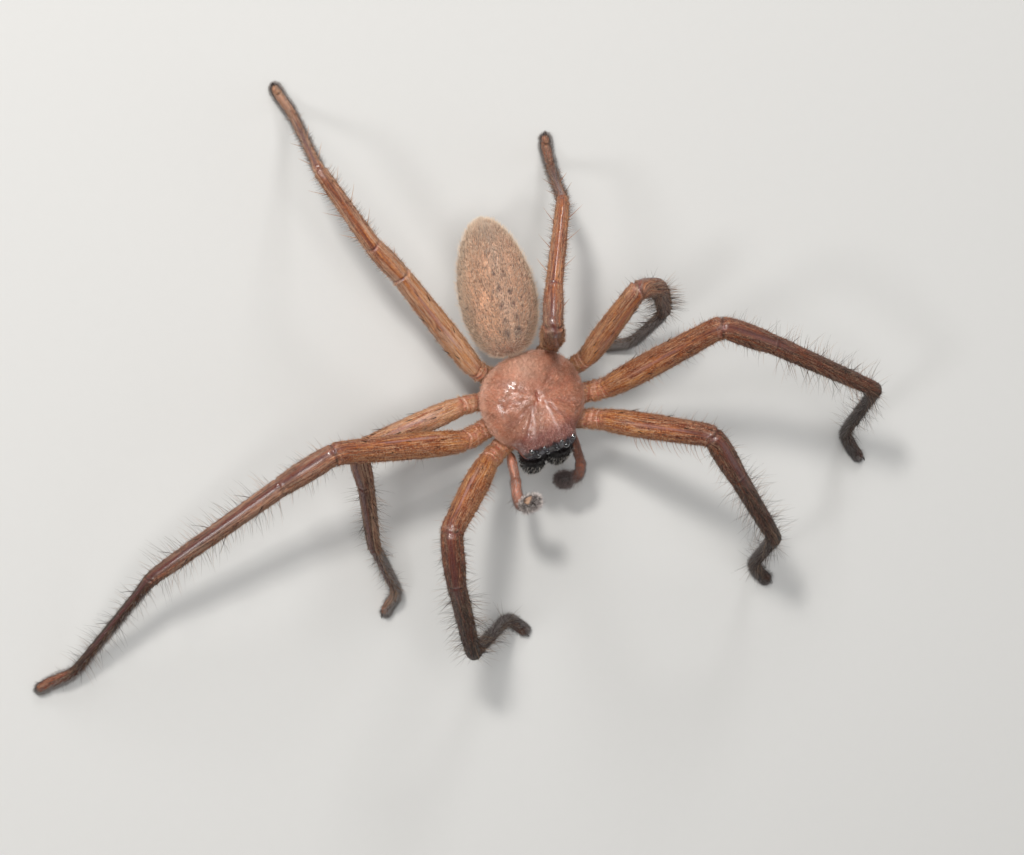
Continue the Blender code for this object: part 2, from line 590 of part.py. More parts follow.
class Leg:
    """Joints, directions and section frames of one leg in the standing frame."""

    def __init__(self, name):
        self.name = name
        self.pair = int(name[1]) - 1
        self.sign = 1.0 if name[0] == "l" else -1.0
        self.radius = LEG_RADIUS[self.pair]
        base, hip = mirrored((COXA_BASES[self.pair], HIPS[self.pair]), self.sign)
        self.joints = [standing(base), standing(hip)]
        headings, rises = POSES[name]
        lengths = SEGMENT_LENGTHS[self.pair]
        rises = self.settled_rises(list(rises), lengths)
        for heading, rise, length in zip(headings, rises, lengths):
            self.joints.append(self.joints[-1] + direction(heading, rise) * length)
        self.ways = path_directions(self.joints)
        self.hinge = self.ways[1].cross(self.ways[4]).normalized()
        turn = math.radians(COXA_BASE_TURN[self.pair])
        wall = Vector((self.sign * math.cos(turn), math.sin(turn), 0.0))
        self.base_normal = Matrix.Rotation(math.radians(-BODY_PITCH), 3, "X") @ wall

    def settled_rises(self, rises, lengths):
        """Tilts the metatarsus so that the tarsus tip comes down to the ground."""
        height = self.joints[1].z
        for i in (0, 1, 2, 4):
            height += lengths[i] * math.sin(math.radians(rises[i]))
        rises[3] = math.degrees(math.asin((SOLE_AXIS - height) / lengths[3]))
        return rises

    def back(self, segment):
        """Direction of the leg's back on a segment, the outer side of its bends."""
        return self.ways[segment].cross(self.hinge).normalized()

    def section(self, segment, share, wide, deep):
        """Plain ring across a segment."""
        centre = self.joints[segment].lerp(self.joints[segment + 1], share)
        radius = self.radius
        return oval(centre, self.ways[segment], self.back(segment), wide * radius, deep * radius)

    def cut_section(self, segment, at_end, wide, deep, shift):
        """Ring on the plane that halves the bend at one end of a segment."""
        joint = segment + 1 if at_end else segment
        if joint == 0:
            normal = self.base_normal
        else:
            normal = joint_plane(self.ways[joint - 1], self.ways[joint])
        centre = self.joints[joint]
        ring = oval(centre, self.ways[segment], self.back(segment), wide * self.radius, deep * self.radius)
        reach = KNEE_CAP * max(wide, deep) * self.radius
        return cut_oval(ring, centre, self.ways[segment], normal, shift, reach)

    def bend(self, joint, wide, deep):
        """Ring inside one node at a bend, the mean of both segments' cuts."""
        near = self.cut_section(joint - 1, True, wide, deep, 0.0)
        far = self.cut_section(joint, False, wide, deep, 0.0)
        return [(a + b) * 0.5 for a, b in zip(near, far)]

    def coxa_rings(self):
        """From the fore body's side to the hip."""
        first, *middle, last = COXA_SECTIONS
        rings = [self.cut_section(0, False, first[1], first[2], 0.0)]
        rings += [self.section(0, *section) for section in middle]
        return rings + [self.cut_section(0, True, last[1], last[2], -GAP / 2)]

    def femur_rings(self):
        """From the hip to the knee."""
        first, *middle, last = FEMUR_SECTIONS
        rings = [self.cut_section(1, False, first[1], first[2], GAP / 2)]
        rings += [self.section(1, *section) for section in middle]
        return rings + [self.cut_section(1, True, last[1], last[2], -GAP / 2)]

    def tibia_rings(self):
        """From the knee over the patella to the end of the tibia."""
        first, *middle, last = PATELLA_SECTIONS
        rings = [self.cut_section(2, False, first[1], first[2], GAP / 2)]
        rings += [self.section(2, *section) for section in middle]
        rings.append(self.bend(3, last[1], last[2]))
        *middle, last = TIBIA_SECTIONS
        rings += [self.section(3, *section) for section in middle]
        return rings + [self.cut_section(3, True, last[1], last[2], -GAP / 2)]

    def foot_rings(self):
        """From the tibia's end to the tip of the tarsus, with a flat sole."""
        first, *middle, last = METATARSUS_SECTIONS
        rings = [self.cut_section(4, False, first[1], first[2], GAP / 2)]
        rings += [self.section(4, *section) for section in middle]
        rings.append(self.bend(5, last[1], last[2]))
        return rings + [self.sole_section(*section) for section in TARSUS_SECTIONS]

    def sole_section(self, share, wide, deep):
        """Ring of the tarsus, level over the sole, its lowest points on the ground."""
        centre = self.joints[5].lerp(self.joints[6], share)
        drop = max(1.0 - share / SOLE_START, 0.0)
        centre.z = SOLE_AXIS + (self.joints[5].z - SOLE_AXIS) * drop
        along = self.ways[5].copy()
        if share >= SOLE_START:
            along.z = 0.0
            along.normalize()
        ring = oval(centre, along, self.back(5), wide * self.radius, deep * self.radius)
        for point in ring:
            if point.z < SOLE_SNAP:
                point.z = 0.0
        return ring

    def spine(self, segment, sections, share, turn, length, lean, draw):
        """One spine, leaning out from a segment towards its tip."""
        half = section_half(sections, share) * self.radius
        back = self.back(segment)
        across = self.ways[segment].cross(back).normalized()
        turn = math.radians(turn + draw.uniform(-7.0, 7.0))
        out = back * math.cos(turn) + across * math.sin(turn)
        lean = math.radians(lean + draw.uniform(-4.0, 4.0))
        way = (out * math.sin(lean) + self.ways[segment] * math.cos(lean)).normalized()
        share += draw.uniform(-0.015, 0.015)
        centre = self.joints[segment].lerp(self.joints[segment + 1], share)
        foot = centre + out * (half * 0.94) - way * SPINE_SINK
        reach = length * draw.uniform(0.92, 1.08) + SPINE_SINK
        return cone(foot, way, reach, SPINE_ROOT_RADIUS, SPINE_TIP_RADIUS, SPINE_SIDES)

    def spines(self, segment, sections, table, draw):
        """All the spines of one segment."""
        return [self.spine(segment, sections, *entry, draw) for entry in table]


def section_half(sections, share):
    """Half width between the sections of a segment, as a share of the leg's radius."""
    for near, far in zip(sections, sections[1:]):
        if share <= far[0]:
            part = (share - near[0]) / (far[0] - near[0])
            return near[1] + (far[1] - near[1]) * max(part, 0.0)
    return sections[-1][1]


def build_leg(name, parts, root):
    """One leg in four nodes: coxa, femur, tibia with its patella, and foot."""
    leg = Leg(name)
    draw = random.Random(name)
    new_piece(f"leg_{name}_coxa", loft(leg.coxa_rings()), "leg", parts, root, leg.joints[0])
    femur = new_piece(f"leg_{name}_femur", loft(leg.femur_rings()), "leg", parts, root, leg.joints[1])
    fuse(femur, leg.spines(1, FEMUR_SECTIONS, FEMUR_SPINES, draw))
    tibia = new_piece(f"leg_{name}_tibia", loft(leg.tibia_rings()), "leg", parts, root, leg.joints[2])
    fuse(tibia, leg.spines(3, TIBIA_SECTIONS, TIBIA_SPINES, draw))
    foot = new_piece(f"leg_{name}_foot", loft(leg.foot_rings()), "foot", parts, root, leg.joints[4])
    fuse(foot, leg.spines(4, METATARSUS_SECTIONS, METATARSUS_SPINES, draw))


def stand_on_origin(parts, root):
    """Moves the model so that the middle of its box stands on the origin."""
    bpy.context.view_layer.update()
    graph = bpy.context.evaluated_depsgraph_get()
    corners = []
    for piece in parts.objects:
        if piece.type == "MESH":
            place = piece.matrix_world
            corners += [place @ vert.co for vert in piece.evaluated_get(graph).data.vertices]
    low = [min(corner[axis] for corner in corners) for axis in range(3)]
    high = [max(corner[axis] for corner in corners) for axis in range(3)]
    root.location = (-0.5 * (low[0] + high[0]), -0.5 * (low[1] + high[1]), -low[2])


def main():
    clear_scene()
    parts = new_collection(COLLECTION_NAME)
    guides = new_collection(GUIDES_NAME)
    root = new_empty("spider", parts)
    fore_body = new_empty("fore_body", parts, root)
    fore_body.location = (0.0, 0.0, BODY_HEIGHT * MM)
    fore_body.rotation_euler = (math.radians(-BODY_PITCH), 0.0, 0.0)
    build_head(parts, guides, fore_body)
    build_underside(parts, fore_body)
    build_mouth_parts(parts, fore_body)
    for tag in ("l", "r"):
        build_palp(tag, parts, fore_body)
    build_abdomen(parts, root)
    build_spinnerets(parts, root)
    for name in POSES:
        build_leg(name, parts, root)
    stand_on_origin(parts, root)


main()
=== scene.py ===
"""The looks of a huntsman spider, life size, as a still model on a plain floor.

Shapes are worked out in millimetres in the solids' standing frame: the spider heads along -Y,
+X is its left and +Z is up. row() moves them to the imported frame's place, in metres.
"""

import math

import bpy
import numpy as np
from mathutils import Matrix, Vector


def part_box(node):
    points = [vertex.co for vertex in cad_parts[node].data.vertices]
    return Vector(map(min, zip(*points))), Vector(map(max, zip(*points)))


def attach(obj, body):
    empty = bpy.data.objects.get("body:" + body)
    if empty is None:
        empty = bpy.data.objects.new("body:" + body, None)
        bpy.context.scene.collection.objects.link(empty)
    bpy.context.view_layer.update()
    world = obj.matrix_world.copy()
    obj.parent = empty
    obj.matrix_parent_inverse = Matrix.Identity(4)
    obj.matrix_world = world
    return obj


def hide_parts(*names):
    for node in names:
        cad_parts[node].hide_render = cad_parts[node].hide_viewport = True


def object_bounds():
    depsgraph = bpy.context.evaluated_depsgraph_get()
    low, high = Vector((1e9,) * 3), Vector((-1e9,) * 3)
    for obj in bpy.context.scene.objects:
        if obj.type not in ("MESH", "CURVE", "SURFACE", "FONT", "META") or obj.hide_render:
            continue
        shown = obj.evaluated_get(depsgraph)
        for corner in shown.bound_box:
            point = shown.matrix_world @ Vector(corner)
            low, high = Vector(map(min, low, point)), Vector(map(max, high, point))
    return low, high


bl_info = {
    "name": "Huntsman spider looks",
    "version": (1, 0, 0),
    "blender": (4, 5, 0),
    "location": "View3D > Sidebar > Spider",
    "description": "Skins, eyes, spines, hairs, finishes and stage of a huntsman spider model",
    "category": "Object",
}

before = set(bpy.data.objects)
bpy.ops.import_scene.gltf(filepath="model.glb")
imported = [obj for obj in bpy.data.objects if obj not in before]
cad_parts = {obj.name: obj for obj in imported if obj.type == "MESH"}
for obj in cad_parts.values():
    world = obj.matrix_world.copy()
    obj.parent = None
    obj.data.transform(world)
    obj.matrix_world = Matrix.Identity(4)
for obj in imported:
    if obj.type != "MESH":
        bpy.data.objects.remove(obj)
CAD_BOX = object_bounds()

MM = 0.001

# Sizes shared with the solids, in millimetres and degrees
BODY_HEIGHT = 7.3
BODY_PITCH = 12.7
CARAPACE_HALF_WIDTH = 4.35
CARAPACE_FRONT = 4.0
CARAPACE_REAR = 3.7
HEAD_HALF_WIDTH = 2.5
HEAD_FRONT = 4.72
CARAPACE_TOP = 2.3
MARGIN_HEIGHT = 0.15
HEAD_MARGIN_DROP = 0.3
MARGIN_THICKNESS = 0.16
CORE_HALF_WIDTH = 1.95
CORE_FRONT = 2.7
CORE_REAR = 2.9
CORE_BOTTOM = -1.88
STERNUM_HALF = (1.7, 1.95, 0.27)
STERNUM_CENTRE = (0.0, 0.0, -2.47)
LABIUM_HALF = (0.42, 0.33, 0.2)
LABIUM_CENTRE = (0.0, -2.62, -2.5)
# Each eye's name, distance aside, distance ahead and radius
EYES = (("ame", 0.42, 4.56, 0.24), ("ale", 1.27, 4.56, 0.28),
        ("pme", 0.78, 4.08, 0.20), ("ple", 1.86, 4.02, 0.25))
EYE_SINK = 0.06
CHELICERA_PATH = ((1.15, -4.02, -0.45), (1.14, -4.22, -0.85), (1.13, -4.55, -1.6),
                  (1.11, -4.98, -2.5), (1.06, -5.34, -3.3), (1.0, -5.55, -3.8))
CHELICERA_PLUMPNESS = 1.16
CHELICERA_HALF = ((0.80, 0.86), (0.96, 1.05), (0.98, 1.12), (0.90, 1.0), (0.74, 0.82), (0.5, 0.56))
FANG_PATH = ((0.95, -5.42, -4.2), (0.8, -5.2, -4.55), (0.62, -4.8, -4.72), (0.46, -4.35, -4.72))
FANG_HALF = (0.36, 0.31, 0.22, 0.09)
FANG_ROOT = (0.99, -5.5, -3.6)
MAXILLA_PATH = ((0.72, -3.0, -2.62), (1.2, -3.02, -2.6), (1.8, -3.14, -2.5), (2.45, -3.42, -2.34))
MAXILLA_HALF = (0.36, 0.42, 0.4, 0.3)
PALP_JOINTS = {
    "r": ((-2.73, -3.72, -2.26), (-3.15, -5.93, -1.75), (-3.5, -6.94, -1.56), (-3.65, -8.29, -1.46),
          (-2.3, -8.0, 0.25)),
    "l": ((2.73, -3.72, -2.3), (2.96, -6.7, -3.6), (2.8, -7.5, -4.3), (2.25, -7.95, -4.9),
          (0.85, -7.5, -5.3)),
}
ABDOMEN_FRONT = (-0.4, 3.85, 6.25)
ABDOMEN_REAR = (0.6, 15.15, 5.6)
ABDOMEN_HALF_WIDTH = 3.22
ABDOMEN_HALF_HEIGHT = 2.7
ABDOMEN_WIDEST = 0.42
ABDOMEN_BLUNTNESS = 0.46
# Dark spots on the abdomen's back: distance from its front, side, radius
ABDOMEN_SPOTS = (
    (2.0, 0.6, 0.42), (1.9, -0.6, 0.42), (3.2, 0.7, 0.26), (3.1, -0.55, 0.26), (4.3, 0.55, 0.24),
    (4.4, -0.5, 0.26), (5.4, 0.5, 0.2), (5.8, -0.55, 0.22), (7.0, 0.35, 0.2), (7.3, -0.6, 0.2),
)
# Place along a palp and half its thickness there
PALP_HALVES = (
    (0.0, 0.12), (0.12, 0.34), (0.35, 0.42), (0.95, 0.38), (1.1, 0.45), (1.9, 0.42), (2.1, 0.46), (2.5, 0.47),
    (2.9, 0.42), (3.06, 0.36), (3.3, 0.50), (3.6, 0.56), (3.8, 0.49), (3.95, 0.28), (4.0, 0.1),
)
# From the middle of the tip's bulb to its bare spot and to the spot's hole
PALP_SPOT = (-0.28, 0.45, 0.19)
PALP_HOLE = (-0.41, 0.38, 0.07)
PEDICEL_START = (0.0, 3.2, -0.9)
PEDICEL_RADII = (0.38, 0.46, 0.28)
SPINNERET_SHARE = 0.86
SPINNERET_MOUND = (0.55, 0.5, 0.26)
SPINNERET_GAP = 0.3
SPINNERET_ROOT = 0.45
SPINNERET_SPREAD = 0.25
# Place of each pair of spinnerets along the slope, and their length
SPINNERETS = ((-0.14, 0.55), (0.16, 0.65))
# How far they lean out, back and aside
SPINNERET_LEAN = (0.9, 0.4, 0.12)
SPINNERET_HALF = (0.21, 0.2, 0.16, 0.1)
# Length of femur, patella, tibia, metatarsus and tarsus in each pair of legs
SEGMENT_LENGTHS = (
    (11.0, 4.9, 10.2, 9.2, 2.8),
    (13.6, 5.1, 13.4, 11.4, 3.4),
    (9.6, 3.5, 6.6, 5.6, 2.4),
    (11.3, 3.8, 7.8, 8.3, 2.8),
)
LEG_RADIUS = (1.04, 1.05, 0.93, 0.94)
HIPS = ((5.13, -3.72, -0.66), (6.38, -1.45, -0.56), (5.6, 1.38, -0.64), (3.46, 3.72, -0.82))
COXA_BASES = ((2.2, -2.45, -1.72), (2.38, -0.84, -1.72), (2.38, 0.84, -1.72), (2.1, 2.5, -1.72))
COXA_ROOT = 0.7
LEG_BEND = 0.9
SOLE_AXIS = 0.3
SOLE_START = 0.66
# Degrees of each leg's headings, 0 ahead and positive to the left, and of its rises, segment by segment
POSES = {
    "l1": ((73, 18, 21, -2, 28), (53, -18, -31, -61, -22)),
    "l2": ((119, 51, 47, -6, 20), (47, -9, -22, -58, -19)),
    "l3": ((144, 65, 20, -40, -102), (41, -41, -54, -48, -11)),
    "l4": ((-151, -213, -216, -243, -194), (66, -37, -33, -71, -24)),
    "r1": ((-75, -6, 6, 82, 35), (52, -17, -35, -55, -22)),
    "r2": ((-111, -71, -68, -49, -80), (23, -21, -19, -25, -17)),
    "r3": ((-88, 2, -4, 12, -40), (4, -21, -22, -24, -25)),
    "r4": ((-158, -153, -162, -194, -167), (11, 14, 1, -66, -22)),
}

# Stretches of a leg's skin: 0 coxa and trochanter, 1 femur, 2 patella, 3 tibia, 4 metatarsus,
# 5 tarsus. Half width and half depth at places along them, as shares of the leg's radius.
LEG_SECTIONS = (
    (0.0, 0.72, 0.72), (0.3, 0.80, 0.80), (0.56, 0.80, 0.80), (0.68, 0.74, 0.74), (0.8, 0.83, 0.83),
    (1.0, 0.76, 0.80), (1.1, 0.92, 0.95), (1.3, 1.0, 1.02), (1.55, 0.97, 1.0), (1.78, 0.90, 0.93),
    (1.95, 0.86, 0.90), (2.06, 0.80, 0.86), (2.32, 0.87, 0.90), (2.66, 0.86, 0.88), (3.0, 0.73, 0.76),
    (3.14, 0.71, 0.73), (3.45, 0.67, 0.68), (3.8, 0.62, 0.63), (4.0, 0.55, 0.57), (4.15, 0.40, 0.41),
    (4.5, 0.37, 0.38), (4.82, 0.38, 0.38), (5.0, 0.38, 0.38), (5.3, 0.42, 0.40), (5.7, 0.42, 0.40),
    (5.93, 0.38, 0.36), (6.0, 0.14, 0.14),
)
# Place of each joint ring along a leg, depth of its groove and height of its rim
LEG_JOINTS = (
    (0.46, 0.04, 0.02), (0.68, 0.08, 0.03), (0.86, 0.05, 0.02), (1.0, 0.10, 0.03),
    (2.0, 0.11, 0.06), (3.0, 0.07, 0.03), (4.0, 0.09, 0.05), (5.0, 0.05, 0.03),
)
# Place of each bare membrane along a leg, how red it is and how pale its rim is
LEG_MEMBRANES = (
    (0.46, 0.6, 0.3), (0.68, 1.0, 0.5), (0.86, 0.7, 0.4), (1.0, 1.0, 0.7), (2.0, 0.4, 0.5), (3.0, 0.3, 0.3),
)
# Darkness of the skin along each leg, from orange brown at 0 to nearly black at 1
TONE_PLACES = (0.0, 1.0, 1.8, 2.1, 3.0, 3.9, 4.1, 4.9, 5.3, 6.0)
LEG_TONES = {
    "l1": (0.08, 0.15, 0.31, 0.54, 0.66, 0.84, 0.95, 0.98, 0.9, 0.8),
    "l2": (0.08, 0.15, 0.31, 0.46, 0.52, 0.66, 0.90, 0.97, 0.9, 0.8),
    "l3": (0.06, 0.10, 0.20, 0.42, 0.60, 0.80, 0.90, 0.92, 0.85, 0.8),
    "l4": (0.14, 0.20, 0.34, 0.46, 0.27, 0.28, 0.42, 0.60, 0.54, 0.4),
    "r1": (0.06, 0.12, 0.25, 0.48, 0.68, 0.88, 0.90, 0.84, 0.72, 0.64),
    "r2": (0.08, 0.13, 0.27, 0.42, 0.46, 0.60, 0.82, 0.84, 0.54, 0.44),
    "r3": (0.08, 0.12, 0.24, 0.46, 0.60, 0.74, 0.76, 0.74, 0.62, 0.5),
    "r4": (0.06, 0.07, 0.17, 0.19, 0.25, 0.34, 0.40, 0.48, 0.38, 0.3),
}
# Strong spines: place along the leg, turn from its back, length, lean from the skin
SPINES = (
    (1.20, -30, 0.8, 16), (1.27, -62, 0.95, 24), (1.38, 52, 0.95, 24), (1.46, -12, 0.8, 16),
    (1.60, -56, 0.9, 24), (1.72, 54, 0.9, 24), (1.80, 10, 0.7, 18), (2.5, 84, 0.9, 40),
    (3.16, -72, 1.6, 46), (3.22, 68, 1.6, 46), (3.45, -86, 1.8, 48), (3.52, 82, 1.8, 48),
    (3.60, 6, 1.2, 38), (3.74, -68, 1.7, 46), (3.80, 74, 1.7, 46),
    (4.12, -66, 1.5, 44), (4.16, 72, 1.5, 44), (4.44, -62, 1.4, 44), (4.50, 64, 1.4, 44),
)

# Degrees from the back to the middle of each leg's bare stripe and of the femur's painted highlight line
STRIPE_TURNS = {"l1": 20, "l2": 20, "l3": -10, "l4": 3, "r1": -14, "r2": -14, "r3": -40, "r4": 6}
# Legs whose bare stripe ends at the knee
HAIRY_SHINS = ("l1", "l2", "r1")
# Share of each leg's colour that pale down with painted sheen covers
LEG_DOWN_AND_SHEEN = {"l1": 0.0, "l2": 0.0, "l3": 0.2, "l4": 0.15, "r1": 0.0, "r2": 0.3, "r3": 0.35, "r4": 0.45}
# Length of each leg's bristles as a share of the longest
BRISTLE_SHARES = {"l1": 1.1, "l2": 1.1, "l3": 0.8, "l4": 0.35, "r1": 0.95, "r2": 1.05, "r3": 0.8, "r4": 0.4}

# Carapace: powers of its outlines, angles of its furrows, and depth or height of its relief
THORAX_POWER = 2.2
HEAD_POWER = 8.0
OUTLINE_JOIN = 16
FURROW_ANGLES = (64.0, 97.0, 131.0)
FURROW_DEPTH = 0.05
FOVEA_DEPTH = 0.15
HOLLOW_DEPTH = 0.04
HEAD_GROOVE_DEPTH = 0.08
RIDGE_HEIGHT = 0.05
# Turns round the fore body at which hair grows between the eyes
EYE_GAPS = (-0.4, -0.3, -0.1, 0.12, 0.34)

# Hairs: share of the radius lost by the tip, depth of the root in radii, lowest point, least climb,
# and reach above the solids
HAIR_TAPER = 0.85
HAIR_ROOT = 0.8
LOWEST_HAIR = 0.015
LEAST_CLIMB = 0.05
HAIR_OVER_TOP = 0.3
# Bounds of the turn all the way round
ROUND = (-math.pi, math.pi)

# Numbers of hairs in the smaller batches
RIM_HAIRS = 2600
CLYPEUS_HAIRS = 420
CHELICERA_HAIRS = 700
CHELICERA_BRISTLES = 170
PALP_BRUSH_HAIRS = 1900
PALP_BRISTLES = 120
PALP_HAIRS = 900
ABDOMEN_FUZZ = 6500
MOUND_HAIRS = 420
SPINNERET_HAIRS = 220
JOINT_HAIRS = 260
FEMUR_BRISTLES = 15
BRUSH_HAIRS = 5200
TUFT_HAIRS = 420

# Turn on each side of the face that the margin's fringe leaves free
FACE_TURN = 0.62
# Places along a leg at which a pale fringe stands
JOINT_FRINGES = (0.44, 0.66, 0.84, 0.98)
# Long bristles: from where to where along a leg, how many, and their length as a share
BRISTLE_ROWS = (
    (1.3, 2.0, 70, 0.5), (2.1, 2.95, 80, 0.6), (3.05, 3.98, 260, 0.95), (4.03, 4.95, 170, 0.8),
    (5.05, 5.8, 20, 0.35),
)
HOLE_COLOUR = (0.01, 0.006, 0.005)
BRISTLE_COLOUR = (0.006, 0.004, 0.004)
# Root and tip of the spinnerets' hair
SPINNERET_HAIR_COLOURS = ((0.16, 0.08, 0.05), (0.5, 0.4, 0.3))

# The camera of the photograph, in the standing frame
CAMERA_PLACE = (-90.11536, 112.30403, 380.53048)
CAMERA_RIGHT = (0.9132296, -0.2763571, 0.2993966)
CAMERA_UP = (0.3432246, 0.9177612, -0.1997783)
CAMERA_BACK = (-0.2195644, 0.2852037, 0.9329793)
CAMERA_LENS = 171.5625
SENSOR_WIDTH = 36.0
# Each lamp's name, place from the middle of the floor and size in metres, and colour
LAMPS = (
    ("softbox", (-0.05, 0.12, 0.46), 0.3, (1.0, 0.98, 0.96)),
    ("key", (-0.10, 0.30, 0.36), 0.05, (1.0, 0.97, 0.93)),
    ("side", (-0.36, 0.09, 0.42), 0.1, (1.0, 0.99, 0.98)),
    ("rim", (0.18, 0.42, 0.26), 0.12, (1.0, 1.0, 1.0)),
    ("fill", (0.45, -0.35, 0.4), 0.5, (0.94, 0.97, 1.0)),
)


def unit(vectors):
    """Vectors scaled to length 1."""
    return vectors / np.maximum(np.linalg.norm(vectors, axis=-1, keepdims=True), 1e-12)


def ease(value, low, high):
    """Rises from 0 at low to 1 at high with level ends."""
    t = np.clip((value - low) / (high - low), 0.0, 1.0)
    return t * t * (3.0 - 2.0 * t)


def hill(value, centre, width):
    """A bell of height 1 round a centre: e to the minus square of the distance over the width."""
    return np.exp(-((value - centre) / width) ** 2)


def tipped(vectors):
    """Turns fore body vectors head up about X by the body's pitch."""
    turn = math.radians(-BODY_PITCH)
    sine, cosine = math.sin(turn), math.cos(turn)
    x, y, z = np.moveaxis(np.asarray(vectors, float), -1, 0)
    return np.stack((x, y * cosine - z * sine, y * sine + z * cosine), axis=-1)


def standing(points):
    """Turns points of the fore body's frame into the standing frame."""
    return tipped(points) + np.array((0.0, 0.0, BODY_HEIGHT))


def row_shift():
    """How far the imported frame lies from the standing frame, read off the sternum's box."""
    low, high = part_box("sternum")
    return np.array((low + high) / 2.0) / MM - standing(STERNUM_CENTRE)


ROW_SHIFT = row_shift()
HIGHEST_TIP = CAD_BOX[1][2] / MM - ROW_SHIFT[2] + HAIR_OVER_TOP


def row(points):
    """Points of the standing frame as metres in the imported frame."""
    return (np.asarray(points, float) + ROW_SHIFT) * MM


def mirrored(points, sign):
    """Points of the left side, or their mirror images for the right."""
    return np.asarray(points, float) * np.array((sign, 1.0, 1.0))


def wrapped(turn):
    """Angles brought between minus and plus half a turn."""
    return (turn + math.pi) % math.tau - math.pi


def heading_way(heading, rise):
    """Unit vector of a heading, 0 along -Y and positive to +X, and a rise."""
    h, r = math.radians(heading), math.radians(rise)
    return np.array((math.sin(h) * math.cos(r), -math.cos(h) * math.cos(r), math.sin(r)))


class Surface:
    """A closed surface that is a function of along, from end to end, and turn, the angle round it."""

    columns = 36
    step = 0.004

    def skin(self, along, turn):
        """Points of the surface."""
        raise NotImplementedError

    def rows(self):
        """Places along at which the mesh has rings."""
        raise NotImplementedError

    def downward(self, along, turn):
        """Short steps along the surface towards its far end."""
        return self.skin(along + self.step, turn) - self.skin(along - self.step, turn)

    def outward(self, along, turn):
        """Normals, from the cross product of short steps round and along."""
        sideways = self.skin(along, turn + self.step) - self.skin(along, turn - self.step)
        return unit(np.cross(sideways, self.downward(along, turn)))

    def lie(self, along, turn):
        """Unit vectors along the surface towards its far end."""
        return unit(self.downward(along, turn))

    def marks(self, along, turn):
        """Named values that the finish reads, the same for the skin and for the hairs rooted on it."""
        return {}

    def grid(self):
        """Ring places and angles as two arrays of the same shape."""
        turns = np.arange(self.columns) * (math.tau / self.columns) - math.pi
        return np.meshgrid(self.rows(), turns, indexing="ij")

    def spot(self, along, turn):
        """Place on the skin's unwrap: along it one way and round it the other, from 0 to 1."""
        ends = self.rows()
        return np.stack(((along - ends[0]) / (ends[-1] - ends[0]), turn / math.tau + 0.5), axis=-1)


def tube_faces(rows, columns):
    """Quads between rings and fans to the two pole points that follow them."""
    i, j = np.meshgrid(np.arange(rows - 1), np.arange(columns), indexing="ij")
    here = i * columns + j
    beside = i * columns + (j + 1) % columns
    quads = np.stack((here, beside, beside + columns, here + columns), axis=-1)
    ring = np.arange(columns)
    following = (ring + 1) % columns
    start = np.stack((np.full(columns, rows * columns), following, ring), axis=-1)
    last = (rows - 1) * columns
    end = np.stack((np.full(columns, rows * columns + 1), last + ring, last + following), axis=-1)
    return quads.reshape(-1, 4), np.concatenate((start, end))


def new_mesh(name, points, quads, triangles, values):
    """A mesh from arrays of row points and faces, with its named values at the points."""
    mesh = bpy.data.meshes.new(name)
    mesh.vertices.add(len(points))
    mesh.vertices.foreach_set("co", points.astype(np.float32).ravel())
    corners = np.concatenate((quads.ravel(), triangles.ravel())).astype(np.int32)
    mesh.loops.add(len(corners))
    mesh.loops.foreach_set("vertex_index", corners)
    starts = np.concatenate((np.arange(len(quads)) * 4, len(quads) * 4 + np.arange(len(triangles)) * 3))
    mesh.polygons.add(len(starts))
    mesh.polygons.foreach_set("loop_start", starts.astype(np.int32))
    mesh.polygons.foreach_set("use_smooth", np.ones(len(starts), bool))
    for key, value in values.items():
        if value.ndim == 2:
            layer = mesh.attributes.new(key, "FLOAT_VECTOR", "POINT")
            layer.data.foreach_set("vector", value.astype(np.float32).ravel())
        else:
            layer = mesh.attributes.new(key, "FLOAT", "POINT")
            layer.data.foreach_set("value", value.astype(np.float32).ravel())
    mesh.update(calc_edges=True)
    return mesh


def place_piece(name, mesh, finish, nodes):
    """Links a piece at the origin, gives it its finish and slot, and hides the solids' nodes that it stands
    for.
    """
    piece = bpy.data.objects.new(name, mesh)
    bpy.context.scene.collection.objects.link(piece)
    mesh.materials.append(finish)
    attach(piece, "root")
    if nodes:
        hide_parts(*nodes)


def skin_piece(name, surface, finish, nodes):
    """The mesh of a surface: its rings, closed at both ends by a pole at the mean of the end ring."""
    along, turn = surface.grid()
    points = surface.skin(along, turn)
    rows, columns = along.shape
    flat = points.reshape(-1, 3)
    poles = np.stack((points[0].mean(axis=0), points[-1].mean(axis=0)))
    quads, triangles = tube_faces(rows, columns)
    values = {}
    for key, value in surface.marks(along, turn).items():
        tail = value.shape[2:]
        ends = np.stack((value[0].mean(axis=0), value[-1].mean(axis=0)))
        values[key] = np.concatenate((value.reshape(-1, *tail), ends))
    mesh = new_mesh(name, row(np.concatenate((flat, poles))), quads, triangles, values)
    place_piece(name, mesh, finish, nodes)


